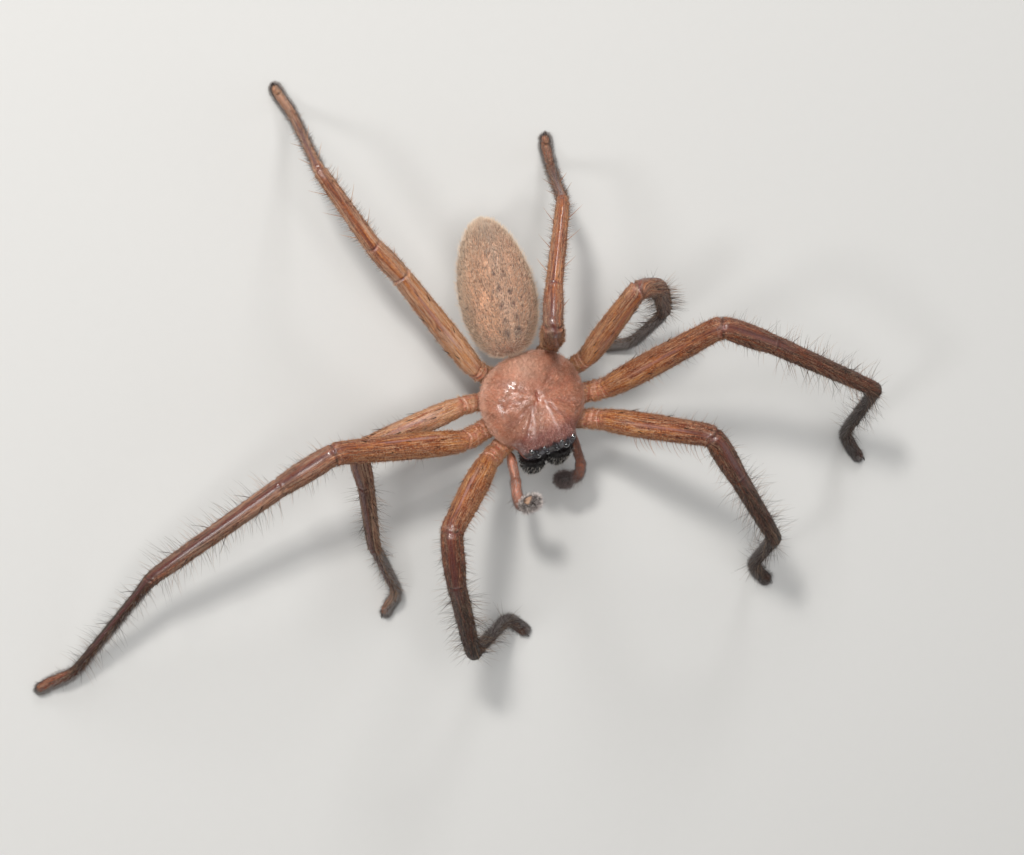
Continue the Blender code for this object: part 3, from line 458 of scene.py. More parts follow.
class Tube(Surface):
    """A limb's skin: an oval section carried along a centre line whose corners are rounded.

    along is 0 at the line's first point and 1 more at each further point, and turn 0 is the back.
    """

    per_stretch = 160
    ring_step = 0.15
    first_step = 0.15
    fewest_rings = 6
    corner_share = 0.45

    def __init__(self, points, backs, sections, rounding, smoothing=0.08):
        self.points = np.asarray(points, float)
        self.lengths = np.linalg.norm(np.diff(self.points, axis=0), axis=1)
        self.stretches = len(self.points) - 1
        fine = np.linspace(0.0, self.stretches, self.per_stretch * self.stretches + 1)
        index = np.minimum(fine.astype(int), self.stretches - 1)
        share = (fine - index)[:, None]
        centre = self.points[index] * (1.0 - share) + self.points[index + 1] * share
        back = np.asarray(backs, float)[index].copy()
        ways = np.diff(self.points, axis=0) / self.lengths[:, None]
        for joint in range(1, self.stretches):
            self.round_corner(joint, fine, centre, back, ways, backs, rounding)
        self.centre = centre
        self.way = unit(np.gradient(centre, axis=0))
        back -= self.way * np.sum(back * self.way, axis=1, keepdims=True)
        self.back = unit(back)
        self.across = np.cross(self.way, self.back)
        table = np.asarray(sections, float)
        width = max(int(smoothing * self.per_stretch), 1)
        self.half_wide = self.smoothed(np.interp(fine, table[:, 0], table[:, 1]), width)
        self.half_deep = self.smoothed(np.interp(fine, table[:, 0], table[:, 2]), width)

    @staticmethod
    def smoothed(values, width):
        """Running mean of a row of values, with the ends held."""
        padded = np.pad(values, width, mode="edge")
        kernel = np.hanning(2 * width + 1)
        return np.convolve(padded, kernel / kernel.sum(), mode="same")[width:-width]

    def round_corner(self, joint, fine, centre, back, ways, backs, rounding):
        """Replaces a corner by a curve of the second degree between points at the rounding's distance."""
        shorter = min(self.lengths[joint - 1], self.lengths[joint])
        reach = min(rounding, self.corner_share * shorter)
        low = joint - reach / self.lengths[joint - 1]
        high = joint + reach / self.lengths[joint]
        inside = (fine > low) & (fine < high)
        place = fine[inside]
        before = 0.5 * (place - low) / (joint - low)
        after = 0.5 + 0.5 * (place - joint) / (high - joint)
        t = np.where(place < joint, before, after)[:, None]
        start = self.points[joint] - ways[joint - 1] * reach
        end = self.points[joint] + ways[joint] * reach
        centre[inside] = (1 - t) ** 2 * start + 2 * t * (1 - t) * self.points[joint] + t ** 2 * end
        blend = t * t * (3 - 2 * t)
        back[inside] = np.asarray(backs[joint - 1]) * (1 - blend) + np.asarray(backs[joint]) * blend

    def read(self, table, along):
        """Value of a fine table at places along, by straight lines between its rows."""
        place = np.clip(np.asarray(along, float) * self.per_stretch, 0.0, len(table) - 1.001)
        low = place.astype(int)
        part = place - low
        if table.ndim == 2:
            part = part[..., None]
        return table[low] * (1.0 - part) + table[low + 1] * part

    def distance(self, along):
        """Length of the centre line from its start, in millimetres."""
        ends = np.concatenate(((0.0,), np.cumsum(self.lengths)))
        return np.interp(along, np.arange(self.stretches + 1), ends)

    def relief(self, along, turn):
        """How far the skin stands out of the plain oval."""
        return np.zeros(np.broadcast(along, turn).shape)

    def skin(self, along, turn):
        """Centre plus the back by the half depth and cosine, plus across by the half width and sine."""
        rise = self.relief(along, turn)
        deep = (self.read(self.half_deep, along) + rise) * np.cos(turn)
        wide = (self.read(self.half_wide, along) + rise) * np.sin(turn)
        spread = self.read(self.back, along) * deep[..., None]
        spread = spread + self.read(self.across, along) * wide[..., None]
        points = self.read(self.centre, along) + spread
        points[..., 2] = np.maximum(points[..., 2], 0.0)
        return points

    def rows(self):
        """Rings 0.4 evenly and 0.6 by half of 1 minus the cosine, so that they crowd at each joint."""
        places = [np.zeros(1)]
        for i, length in enumerate(self.lengths):
            count = max(int(length / (self.ring_step if i else self.first_step)), self.fewest_rings)
            t = np.arange(1, count + 1) / count
            places.append(i + 0.4 * t + 0.3 * (1.0 - np.cos(math.pi * t)))
        return np.concatenate(places)


class Leg(Tube):
    """One leg's skin from the body to the tip of the tarsus."""

    first_step = 0.08

    def __init__(self, name):
        self.name = name
        self.pair = int(name[1]) - 1
        self.radius = LEG_RADIUS[self.pair]
        sign = 1.0 if name[0] == "l" else -1.0
        base, hip = standing(mirrored((COXA_BASES[self.pair], HIPS[self.pair]), sign))
        joints = [base, hip]
        lengths = SEGMENT_LENGTHS[self.pair]
        headings, rises = POSES[name]
        rises = self.settled_rises(list(rises), lengths, hip[2])
        for heading, rise, length in zip(headings, rises, lengths):
            joints.append(joints[-1] + heading_way(heading, rise) * length)
        ways = [unit(far - near) for near, far in zip(joints, joints[1:])]
        hinge = unit(np.cross(ways[1], ways[4]))
        backs = [unit(np.cross(way, hinge)) for way in ways]
        sections = [(place, wide * self.radius, deep * self.radius) for place, wide, deep in LEG_SECTIONS]
        joints[0] = base - ways[0] * COXA_ROOT
        super().__init__(joints, backs, sections, LEG_BEND)
        self.level_sole()

    @staticmethod
    def settled_rises(rises, lengths, height):
        """Tilts the metatarsus so that the tarsus tip comes down to the ground."""
        for i in (0, 1, 2, 4):
            height += lengths[i] * math.sin(math.radians(rises[i]))
        rises[3] = math.degrees(math.asin((SOLE_AXIS - height) / lengths[3]))
        return rises

    def level_sole(self):
        """Brings the end of the centre line down to the sole's height, and levels it there."""
        fine = np.linspace(0.0, self.stretches, len(self.centre))
        share = np.clip((fine - 5.0) / SOLE_START, 0.0, 1.0)
        start = self.points[5][2]
        level = start + (SOLE_AXIS - start) * share
        self.centre[:, 2] += (level - self.centre[:, 2]) * ease(fine, 4.95, 5.1)
        self.way = unit(np.gradient(self.centre, axis=0))
        self.back = unit(self.back - self.way * np.sum(self.back * self.way, axis=1, keepdims=True))
        self.across = np.cross(self.way, self.back)

    def from_joint(self, along, joint):
        """Distance past a joint, in millimetres, less than 0 before it."""
        whole = int(joint)
        before = self.lengths[max(whole - 1, 0)] if joint == whole else self.lengths[whole]
        after = self.lengths[min(whole, self.stretches - 1)]
        return np.where(along < joint, (along - joint) * before, (along - joint) * after)

    def from_wavy_joint(self, along, turn, joint):
        """Distance past a joint whose ring waves a little round the leg."""
        return self.from_joint(along + 0.012 * np.sin(3.0 * turn + 9.0 * joint), joint)

    def relief(self, along, turn):
        """Grooves at the joints with a rim before each, folds round the trochanter, and faint keels."""
        rise = np.zeros(np.broadcast(along, turn).shape)
        for joint, groove, rim in LEG_JOINTS:
            past = self.from_wavy_joint(along, turn, joint)
            rise = rise - groove * hill(past, 0.06, 0.10) + rim * hill(past, -0.15, 0.10)
            rise = rise + 0.5 * rim * hill(past, 0.3, 0.14)
        slant = 0.25 * np.sin(turn + 0.6)
        waves = np.sin(along * 74.0 + 14.0 * slant) + np.sin(along * 47.0 - 9.0 * slant)
        folds = hill(along, 0.78, 0.3) * waves * 0.016
        keels = 0.018 * np.cos(6.0 * turn) * ease(along, 1.1, 1.3) * (1.0 - ease(along, 3.7, 4.0))
        return rise + (folds + keels) * self.radius

    def darkness(self, along):
        """The leg's tone, darker just past the patella's two joints."""
        tone = np.interp(along, TONE_PLACES, LEG_TONES[self.name])
        for place, share in ((2.0, 0.4), (3.0, 0.25)):
            tone = tone + share * hill(self.from_joint(along, place), 0.06, 0.09)
        return tone

    def stripe(self, along, turn):
        """The bare stripe along the back, and the pale line along the femur's, a painted highlight."""
        width = np.interp(along, (1.0, 1.9, 2.2, 4.0), (0.16, 0.2, 0.34, 0.38))
        fading = (2.95, 3.25) if self.name in HAIRY_SHINS else (4.6, 4.95)
        bare = hill(turn, 0.0, width) * ease(along, 1.2, 1.6) * (1.0 - ease(along, *fading))
        line = hill(turn, 0.06, 0.08) * ease(along, 1.12, 1.4) * (1.0 - ease(along, 1.75, 1.95))
        return bare, line

    def membranes(self, along, turn):
        """How red the joints are, and how pale the rims before them."""
        joint = np.zeros(along.shape)
        rim = np.zeros(along.shape)
        for place, share, pale in LEG_MEMBRANES:
            past = self.from_wavy_joint(along, turn, place)
            joint = np.maximum(joint, share * hill(past, 0.04, 0.10))
            rim = np.maximum(rim, pale * hill(past, -0.15, 0.06))
        return joint, rim

    def marks(self, along, turn):
        """Darkness, bare back stripe with its line of painted highlight, flanks, membranes, rims, pale down
        with painted sheen, and coordinates for streaks.
        """
        reach = self.distance(along)
        turn = turn - math.radians(STRIPE_TURNS[self.name])
        bare, line = self.stripe(along, turn)
        joint, rim = self.membranes(along, turn)
        grain = np.stack((0.06 * reach, self.radius * np.cos(turn), self.radius * np.sin(turn)), axis=-1)
        knee = ease(along, 1.9, 2.3) * (1.0 - ease(along, 3.8, 4.1)) if self.pair == 1 else 1.0
        frost = np.full(along.shape, LEG_DOWN_AND_SHEEN[self.name]) * (1.0 - bare) * knee
        return {"tone": self.darkness(along), "bare": bare, "line": line, "flank": np.sin(turn) ** 4,
                "joint": joint, "edge": rim, "hip": 1.0 - ease(along, 1.0, 1.14), "frost": frost,
                "grain": grain}


def super_radius(turn, half_width, half_length, power):
    """Radius of a superellipse at an angle from its length axis."""
    wide = np.abs(np.sin(turn)) / half_width
    long = np.abs(np.cos(turn)) / half_length
    return (wide ** power + long ** power) ** (-1.0 / power)


def head_share(turn):
    """1 on the head's sector of the carapace, 0 on the thorax."""
    return ease(np.cos(turn), 0.55, 0.85)


def carapace_radius(turn):
    """Outline of the carapace: the greater of a round thorax and a square head, softly joined."""
    ahead = np.cos(turn) > 0.0
    length = np.where(ahead, CARAPACE_FRONT, CARAPACE_REAR)
    thorax = super_radius(turn, CARAPACE_HALF_WIDTH, length, THORAX_POWER)
    head = super_radius(turn, HEAD_HALF_WIDTH, HEAD_FRONT, HEAD_POWER)
    joined = (thorax ** OUTLINE_JOIN + head ** OUTLINE_JOIN) ** (1.0 / OUTLINE_JOIN)
    return np.where(ahead, joined, thorax)


def carapace_relief(x, y):
    """Fovea, furrows that fan out from it, the grooves beside the head and the head's ridges."""
    x_side = np.abs(x)
    turn = np.arctan2(x_side, -y)
    reach = np.hypot(x, y)
    rise = -FOVEA_DEPTH * hill(x, 0.0, 0.12) * ease(y, -0.45, -0.1) * (1.0 - ease(y, 0.3, 0.7))
    rise = rise - HOLLOW_DEPTH * hill(x, 0.0, 0.5) * hill(y, 0.2, 0.9)
    for angle in FURROW_ANGLES:
        furrow = hill(turn, math.radians(angle), 0.13)
        rise = rise - FURROW_DEPTH * furrow * ease(reach, 0.5, 1.3) * (1.0 - ease(reach, 2.6, 3.9))
    groove = hill(x_side, 0.22 + 0.66 * np.clip(-y - 0.1, 0.0, 9.0), 0.24)
    rise = rise - HEAD_GROOVE_DEPTH * groove * ease(-y, 0.0, 0.6) * (1.0 - ease(-y, 2.6, 3.5))
    return rise + RIDGE_HEIGHT * carapace_ridges(x, y)


def carapace_ridges(x, y):
    """Ridges from the fovea towards the eyes, whose pale colour is a painted highlight: bells across three
    slanting lines that fade ahead.
    """
    ahead = -y
    window = ease(ahead, 0.2, 0.7) * (1.0 - ease(ahead, 2.3, 3.6))
    width = 0.08 + 0.02 * ahead
    left = hill(x, 0.47 + 0.09 * ahead + 0.03 * np.sin(5.0 * ahead), width) * ease(ahead, 0.0, 0.4)
    right = hill(x, -0.50 - 0.275 * ahead + 0.03 * np.sin(4.0 * ahead), width)
    middle = 0.6 * hill(x, 0.75 + 0.28 * ahead, 0.10) * (1.0 - ease(ahead, 1.2, 2.6))
    taper = 1.0 - 0.5 * ease(ahead, 1.0, 2.6)
    return window * taper * np.maximum(np.maximum(left, right), middle)


def carapace_height(share, turn):
    """Margin plus the dome: the share's power taken from 1, to the power 0.6, steeper at the head."""
    head = head_share(turn)
    margin = MARGIN_HEIGHT - HEAD_MARGIN_DROP * head
    dome = np.maximum(1.0 - share ** (2.3 + 4.7 * head), 0.0) ** 0.6
    return margin + (CARAPACE_TOP - margin) * dome


def carapace_point(x, y):
    """Points of the carapace's top over places in the fore body frame."""
    turn = np.arctan2(x, -y)
    share = np.minimum(np.hypot(x, y) / carapace_radius(turn), 1.0)
    flat = 1.0 - ease(share, 0.8, 1.0)
    return np.stack((x, y, carapace_height(share, turn) + carapace_relief(x, y) * flat), axis=-1)


def carapace_normal(x, y):
    """Normals of the carapace's top."""
    step = 0.05
    along_x = carapace_point(x + step, y) - carapace_point(x - step, y)
    along_y = carapace_point(x, y + step) - carapace_point(x, y - step)
    return unit(np.cross(along_x, along_y))


class Prosoma(Surface):
    """The fore body: along 0 to 1 runs down the dome, 1 to 2 round the margin and down the core."""

    columns = 180
    top_rings = 64

    def rows(self):
        """Even steps in angle down the dome, then the margin's roll and the core."""
        dome = np.linspace(0.02, 1.0, self.top_rings)
        return np.concatenate((dome, np.linspace(1.02, 1.3, 8), np.linspace(1.35, 2.0, 14)))

    def skin(self, along, turn):
        """The dome over the outline, rolled under at the margin, then the core down to its floor."""
        turn = np.asarray(turn, float) * -1.0
        edge = carapace_radius(turn)
        share = np.sin(0.5 * math.pi * np.clip(along, 0.0, 1.0))
        x, y = share * edge * np.sin(turn), -share * edge * np.cos(turn)
        top = carapace_point(x, y)
        margin = MARGIN_HEIGHT - HEAD_MARGIN_DROP * head_share(turn)
        core = super_radius(turn, CORE_HALF_WIDTH, np.where(np.cos(turn) > 0.0, CORE_FRONT, CORE_REAR), 3.0)
        roll = np.clip((along - 1.0) / 0.3, 0.0, 1.0)
        rolled = edge - 0.55 * roll ** 2
        shelf = margin - MARGIN_THICKNESS * np.sin(0.5 * math.pi * roll)
        down = ease(along, 1.3, 1.42)
        sink = np.clip((along - 1.42) / 0.58, 0.0, 1.0)
        core_edge = (core * 1.04) * np.sqrt(np.clip(1.0 - np.clip(sink, 0.0, 0.999) ** 3.5, 0.0, 1.0))
        radius = rolled * (1.0 - down) + core_edge * down
        height = shelf + (CORE_BOTTOM - shelf) * sink ** 1.1
        under = np.stack((radius * np.sin(turn), -radius * np.cos(turn), height), axis=-1)
        return standing(np.where((along > 1.0)[..., None], under, top))

    def marks(self, along, turn):
        """Place on the carapace, and the shares of ridge, whose pale colour is a painted highlight, dusk near
        the eyes, margin with a rear patch that is partly painted highlight, and underside.
        """
        angle = np.asarray(turn, float) * -1.0
        share = np.sin(0.5 * math.pi * np.clip(along, 0.0, 1.0))
        edge = carapace_radius(angle)
        x, y = share * edge * np.sin(angle), -share * edge * np.cos(angle)
        dusk = ease(-y, 1.6, 4.2) * (1.0 - 0.5 * ease(np.abs(x), 2.2, 3.2))
        wavy = -y + 0.1 * np.sin(4.3 * x + 1.0) + 0.06 * np.sin(11.0 * x)
        mask = ease(wavy, 3.6, 4.45) * ease(along, 0.5, 0.6)
        furrow = np.clip(-carapace_relief(x, y) / 0.12, 0.0, 1.0)
        margin = ease(share, 0.9, 0.99) * (1.0 - head_share(angle))
        # The margin is pale from fringe hair; the patch at the middle of the rear is partly pale hair and
        # partly painted highlight.
        rim = np.maximum(margin, 1.35 * ease(y, 1.0, 2.8) * hill(x, 0.0, 1.6))
        face = ease(along, 0.885, 0.955) * head_share(angle) * (1.0 - ease(along, 1.2, 1.4))
        under = ease(along, 1.1, 1.3)
        map_place = np.stack((x, y, along), axis=-1)
        return {"ridge": carapace_ridges(x, y), "dusk": dusk, "mask": mask, "furrow": furrow, "rim": rim,
                "face": face, "under": under, "grain": map_place}


class Palp(Tube):
    """A palp's skin: slim shaft, a narrowing, and the tip's bulb, bare in one spot on the right."""

    def __init__(self, tag):
        points = standing(PALP_JOINTS[tag])
        ways = unit(np.diff(points, axis=0))
        backs = [tipped((0.0, 0.0, 1.0))] * 3 + [ways[2]]
        sections = [(place, half, half) for place, half in PALP_HALVES]
        super().__init__(points, backs, sections, 0.35, 0.05)
        middle = points[3] * 0.42 + points[4] * 0.58
        # 1 on the right palp, which bears the bare spot; 0 on the left, which then takes painted shade all
        # over and dimmer hairs.
        self.bare = 1.0 if tag == "r" else 0.0
        self.spot_place = middle + PALP_SPOT
        self.hole_place = middle + PALP_HOLE

    def marks(self, along, turn):
        """The dusky tip, the beige spot and its hole, coordinates for streaks, and the dusk, painted shade
        over the whole left palp and both palps' tibiae.
        """
        away = np.linalg.norm(self.skin(along, turn) - self.spot_place, axis=-1)
        grain = np.stack((0.2 * self.distance(along), 0.45 * np.cos(turn), 0.45 * np.sin(turn)), axis=-1)
        hole = np.linalg.norm(self.skin(along, turn) - self.hole_place, axis=-1)
        wavy = away * (1.0 + 0.12 * np.sin(3.0 * turn + 1.0))
        return {"tip": ease(along, 2.9, 3.2), "spot": self.bare * (1.0 - ease(wavy, 0.33, 0.48)),
                "hole": self.bare * (1.0 - ease(hole, 0.09, 0.15)), "grain": grain,
                "dusk": np.full(along.shape, 1.0 - self.bare) * 0.6 + 0.4 * ease(along, 1.9, 2.4)}


class Abdomen(Surface):
    """The abdomen: swelling round an axis, blunter in front than behind."""

    columns = 96

    def __init__(self, sink):
        self.sink = sink
        axis = np.subtract(ABDOMEN_REAR, ABDOMEN_FRONT)
        self.length = float(np.linalg.norm(axis))
        self.way = axis / self.length
        self.side = unit(np.cross(self.way, (0.0, 0.0, 1.0)))
        self.up = np.cross(self.side, self.way)

    def rows(self):
        """Steps that crowd at both ends: half of 1 minus the cosine."""
        t = np.linspace(0.012, 0.992, 110)
        return 0.5 - 0.5 * np.cos(math.pi * t)

    def skin(self, along, turn):
        """Axis point plus swellings up and sideways, by the sine of the skewed share to a power."""
        along = np.clip(along, 0.0, 1.0)
        skew = math.log(0.5) / math.log(ABDOMEN_WIDEST)
        half = np.maximum(np.sin(math.pi * along ** skew), 0.0) ** ABDOMEN_BLUNTNESS
        low_flank = hill(np.abs(np.abs(turn) - 1.9), 0.0, 0.5)
        wrinkle = 0.05 * np.sin(along * 46.0) * low_flank * ease(along, 0.1, 0.3)
        wide = (ABDOMEN_HALF_WIDTH - self.sink + wrinkle) * half * np.sin(turn)
        tall = (ABDOMEN_HALF_HEIGHT - self.sink + wrinkle) * half * np.cos(turn)
        inset = self.sink * (1.0 - 2.0 * along)
        base = np.asarray(ABDOMEN_FRONT) + self.way * (self.length * along + inset)[..., None]
        return base + self.side * wide[..., None] + self.up * tall[..., None]

    def marks(self, along, turn):
        """Median band, paired dark spots behind each other, bare front, belly and coordinates for flecks."""
        across = ABDOMEN_HALF_WIDTH * np.sin(turn) * (np.cos(turn) > 0.0)
        back = self.length * along
        band = hill(across, 0.0, 0.75 + 0.5 * along) * (np.cos(turn) > 0.0)
        flank = ease(np.abs(turn), 0.75, 1.5)
        spots = np.zeros(along.shape)
        for place, side, size in ABDOMEN_SPOTS:
            away = np.hypot((back - place) * 0.75, across - side)
            spots = np.maximum(spots, (1.0 - ease(away, size * 0.5, size * 1.3)) * (np.cos(turn) > 0.0))
        front = 1.0 - ease(along, 0.03, 0.12)
        belly = ease(-np.cos(turn), 0.1, 0.7)
        radius = ABDOMEN_HALF_WIDTH
        grain = np.stack((0.3 * back, radius * np.cos(turn), radius * np.sin(turn)), axis=-1)
        return {"band": band, "flank": flank, "spots": spots, "front": front, "belly": belly, "grain": grain}


class Ball(Surface):
    """An ellipsoid about a centre; its three half sizes go across, ahead to behind, and pole to pole."""

    def __init__(self, centre, half, columns, rings, power=1.0, axes=None):
        self.centre = np.asarray(centre, float)
        self.axes = tipped(np.eye(3)) if axes is None else np.asarray(axes, float)
        self.half = np.asarray(half, float)
        self.columns = columns
        self.rings = rings
        self.power = power

    def rows(self):
        """Even steps in angle from pole to pole."""
        return np.linspace(0.5 / self.rings, 1.0 - 0.5 / self.rings, self.rings)

    def skin(self, along, turn):
        """Half sizes times the sphere's sine and cosine, the outline squared off by the power."""
        polar = math.pi * along
        flat = np.sin(polar) ** self.power
        local = np.stack((-flat * np.sin(turn), -flat * np.cos(turn), np.cos(polar)), axis=-1)
        return self.centre + (local * self.half) @ self.axes


def hair_faces(steps, sides, count):
    """Triangles of hairs that have a ring of points at each step and one point at the tip."""
    faces = []
    for step in range(steps - 1):
        for side in range(sides):
            a, b = step * sides + side, step * sides + (side + 1) % sides
            faces += [(a, b, b + sides), (a, b + sides, a + sides)]
    last = (steps - 1) * sides
    tip = steps * sides
    faces += [(last + side, last + (side + 1) % sides, tip) for side in range(sides)]
    faces += [(0, side + 1, side) for side in range(1, sides - 1)]
    stride = steps * sides + 1
    return (np.array(faces)[None] + stride * np.arange(count)[:, None, None]).reshape(-1, 3)


def hair_points(path, side, stride, thick, sides):
    """Rings of falling radius round each hair's path, then the point at its tip."""
    size, steps = stride.shape[:2]
    ring_turn = np.arange(sides) * (math.tau / sides)
    radius = thick[:, None] * (1.0 - HAIR_TAPER * (np.arange(steps) / steps))
    lift = np.cross(side[:, None], stride)
    swell = side[:, None, None] * np.cos(ring_turn)[None, None, :, None]
    swell = swell + lift[:, :, None] * np.sin(ring_turn)[None, None, :, None]
    rings = path[:, :steps, None] - swell * radius[:, :, None, None]
    points = np.concatenate((rings.reshape(size, -1, 3), path[:, -1:]), axis=1)
    points[..., 2] = np.maximum(points[..., 2], LOWEST_HAIR)
    return points.reshape(-1, 3)


class Coat:
    """Tapered, bent hairs gathered from several batches into one mesh."""

    patch = 0.0015

    def __init__(self, name, seed):
        self.name = name
        self.draw = np.random.default_rng(seed)
        self.points = []
        self.triangles = []
        self.values = []
        self.spots = []
        self.count = 0

    def spread(self, count, low, high):
        """Even random values between two bounds."""
        return self.draw.uniform(low, high, count)

    def drawn(self, value, size):
        """A value for each hair: even random ones if it is a pair of bounds, or else what is given."""
        if isinstance(value, tuple):
            return self.spread(size, *value)
        return np.broadcast_to(value, size)

    def footing(self, surface, along, turn, sway):
        """Roots, normals, ways along the lie that sway sideways by a random share, and sides."""
        root = surface.skin(along, turn)
        out = surface.outward(along, turn)
        way = surface.lie(along, turn)
        way = unit(way - out * np.sum(way * out, axis=1, keepdims=True))
        side = np.cross(out, way)
        way = unit(way + side * self.draw.normal(0.0, sway, len(along))[:, None])
        return root, out, way, np.cross(out, way)

    def grow(self, surface, along, turn, length, thick, lean, curl, sway, pale=0.0, steps=1, sides=3):
        """Roots a batch of hairs on a surface.

        A hair leaves its root at the lean above the lie, its angle changes by the curl up to the tip,
        and its radius falls evenly to the tip. No tip stands higher than the highest one allowed.
        Turn, length, lean and pale share may each be a pair of bounds for even random values.
        """
        size = len(along)
        turn, length, lean, pale = [self.drawn(value, size) for value in (turn, length, lean, pale)]
        thick = np.broadcast_to(thick, size)
        root, out, way, side = self.footing(surface, along, turn, sway)
        angle = np.radians(lean[:, None] + curl * ((np.arange(steps) + 0.5) / steps))
        stride = way[:, None] * np.cos(angle)[..., None] + out[:, None] * np.sin(angle)[..., None]
        climb = np.maximum(stride[..., 2].mean(axis=1), 1e-6)
        length = np.minimum(length, np.maximum(HIGHEST_TIP - root[:, 2], LEAST_CLIMB) / climb)
        start = (root - out * (HAIR_ROOT * thick)[:, None])[:, None]
        path = np.cumsum(stride * (length / steps)[:, None, None], axis=1)
        path = np.concatenate((start, start + path), axis=1)
        self.points.append(hair_points(path, side, stride, thick, sides))
        self.triangles.append(hair_faces(steps, sides, size) + self.count)
        self.count += size * (steps * sides + 1)
        self.keep_values(surface, along, turn, pale, steps, sides)

    def keep_values(self, surface, along, turn, pale, steps, sides):
        """Named values of the hairs' points, and a small patch of the unwrap round each root."""
        size, each = len(along), steps * sides + 1
        t = np.arange(steps) / steps
        values = {key: np.repeat(value, each, axis=0) for key, value in surface.marks(along, turn).items()}
        values["lift"] = np.tile(np.concatenate((np.repeat(t, sides), (1.0,))), size)
        values["pale"] = np.repeat(pale, each)
        self.values.append(values)
        ring_sine = np.sin(np.arange(sides) * (math.tau / sides))
        corner = np.stack((np.concatenate((np.repeat(2.0 * t - 1.0, sides), (1.0,))),
                           np.concatenate((np.tile(ring_sine, steps), (0.0,)))), axis=-1)
        spot = surface.spot(along, turn)[:, None] + self.patch * corner[None]
        self.spots.append(spot.reshape(-1, 2))

    def piece(self, finish, slot):
        """Makes the mesh piece, with its unwrap named OFBake."""
        points = np.concatenate(self.points)
        triangles = np.concatenate(self.triangles)
        keys = self.values[0].keys()
        values = {key: np.concatenate([batch[key] for batch in self.values]) for key in keys}
        mesh = new_mesh(self.name, row(points), np.zeros((0, 4), int), triangles, values)
        spots = np.clip(np.concatenate(self.spots), 0.0, 1.0)
        unwrap = mesh.uv_layers.new(name="OFBake")
        unwrap.data.foreach_set("uv", spots[triangles.ravel()].astype(np.float32).ravel())
        place_piece(self.name, mesh, finish, ())


class Value:
    """A socket of a finish's nodes; arithmetic on it adds Math nodes."""

    def __init__(self, finish, socket):
        self.finish = finish
        self.socket = socket

    def worked(self, operation, *operands):
        """The result of a Math node on the operands."""
        node = self.finish.node("ShaderNodeMath", {"operation": operation}, dict(enumerate(operands)))
        return Value(self.finish, node.outputs[0])

    def __add__(self, other):
        return self.worked("ADD", self, other)

    def __sub__(self, other):
        return self.worked("SUBTRACT", self, other)

    def __rsub__(self, other):
        return self.worked("SUBTRACT", other, self)

    def __mul__(self, other):
        return self.worked("MULTIPLY", self, other)

    __radd__ = __add__
    __rmul__ = __mul__


class Finish:
    """A material and the ways its nodes are added."""

    def __init__(self, name):
        self.material = bpy.data.materials.new(name)
        self.material.use_nodes = True
        self.tree = self.material.node_tree
        self.tree.nodes.clear()

    def node(self, kind, settings=None, inputs=None):
        """Adds a node of a kind: its settings first, then the values or links of its sockets."""
        node = self.tree.nodes.new(kind)
        for key, value in (settings or {}).items():
            if key == "stops":
                self.set_stops(node.color_ramp, value)
            else:
                setattr(node, key, value)
        for key, value in (inputs or {}).items():
            if isinstance(value, Value):
                self.tree.links.new(value.socket, node.inputs[key])
            else:
                node.inputs[key].default_value = value
        return node

    @staticmethod
    def set_stops(ramp, stops):
        """Places and colours of a colour ramp."""
        while len(ramp.elements) < len(stops):
            ramp.elements.new(1.0)
        for element, (place, colour) in zip(ramp.elements, stops):
            element.position = place
            element.color = (*colour, 1.0)

    def mark(self, name):
        """A number stored at the mesh's points."""
        return Value(self, self.node("ShaderNodeAttribute", {"attribute_name": name}).outputs["Fac"])

    def grain(self):
        """The vector for streaks that is stored at the mesh's points."""
        return Value(self, self.node("ShaderNodeAttribute", {"attribute_name": "grain"}).outputs["Vector"])

    def place(self):
        """The point's place in the object, in metres."""
        return Value(self, self.node("ShaderNodeTexCoord").outputs["Object"])

    def noise(self, vector, scale, detail=2.0, roughness=0.5):
        """Soft noise between 0 and 1."""
        inputs = {"Vector": vector, "Scale": scale, "Detail": detail, "Roughness": roughness}
        return Value(self, self.node("ShaderNodeTexNoise", {}, inputs).outputs["Fac"])

    def between(self, value, low, high):
        """Rises from 0 to 1 with level ends while the value goes from low to high."""
        node = self.node("ShaderNodeMapRange", {"interpolation_type": "SMOOTHSTEP"},
                         {"Value": value, "From Min": low, "From Max": high})
        return Value(self, node.outputs["Result"])

    def patches(self, vector, scale, detail, low, high, roughness=0.5):
        """Noise sharpened so that it goes from 0 to 1 between two of its values."""
        return self.between(self.noise(vector, scale, detail, roughness), low, high)

    def ramp(self, value, stops):
        """Colour of a value between the stops."""
        return Value(self, self.node("ShaderNodeValToRGB", {"stops": stops}, {"Fac": value}).outputs["Color"])

    def mix(self, share, first, second):
        """First colour at share 0, second at share 1."""
        inputs = {0: share, 6: self.colour(first), 7: self.colour(second)}
        return Value(self, self.node("ShaderNodeMix", {"data_type": "RGBA"}, inputs).outputs[2])

    def shades(self, share, colour, dark, light):
        """A colour scaled by one factor at share 0 and by another at share 1."""
        return self.mix(share, scaled(colour, dark), scaled(colour, light))

    @staticmethod
    def colour(value):
        """A colour with its fourth number, or a link as it is."""
        return value if isinstance(value, Value) else (*value, 1.0)

    def bump(self, height, strength, distance):
        """A normal bent by a height; the distance is in millimetres."""
        inputs = {"Height": height, "Strength": strength, "Distance": distance * MM}
        return Value(self, self.node("ShaderNodeBump", {}, inputs).outputs["Normal"])

    def shade(self, colour, roughness, normal=None, **constants):
        """Ends the material in one Principled shader; the constants are set on its own sockets."""
        inputs = {"Base Color": self.colour(colour), "Roughness": roughness, "Metallic": 0.0}
        if normal is not None:
            inputs["Normal"] = normal
        inputs.update({key.replace("_", " "): value for key, value in constants.items()})
        shader = self.node("ShaderNodeBsdfPrincipled", {}, inputs)
        out = self.node("ShaderNodeOutputMaterial")
        self.tree.links.new(shader.outputs[0], out.inputs["Surface"])
        return self.material


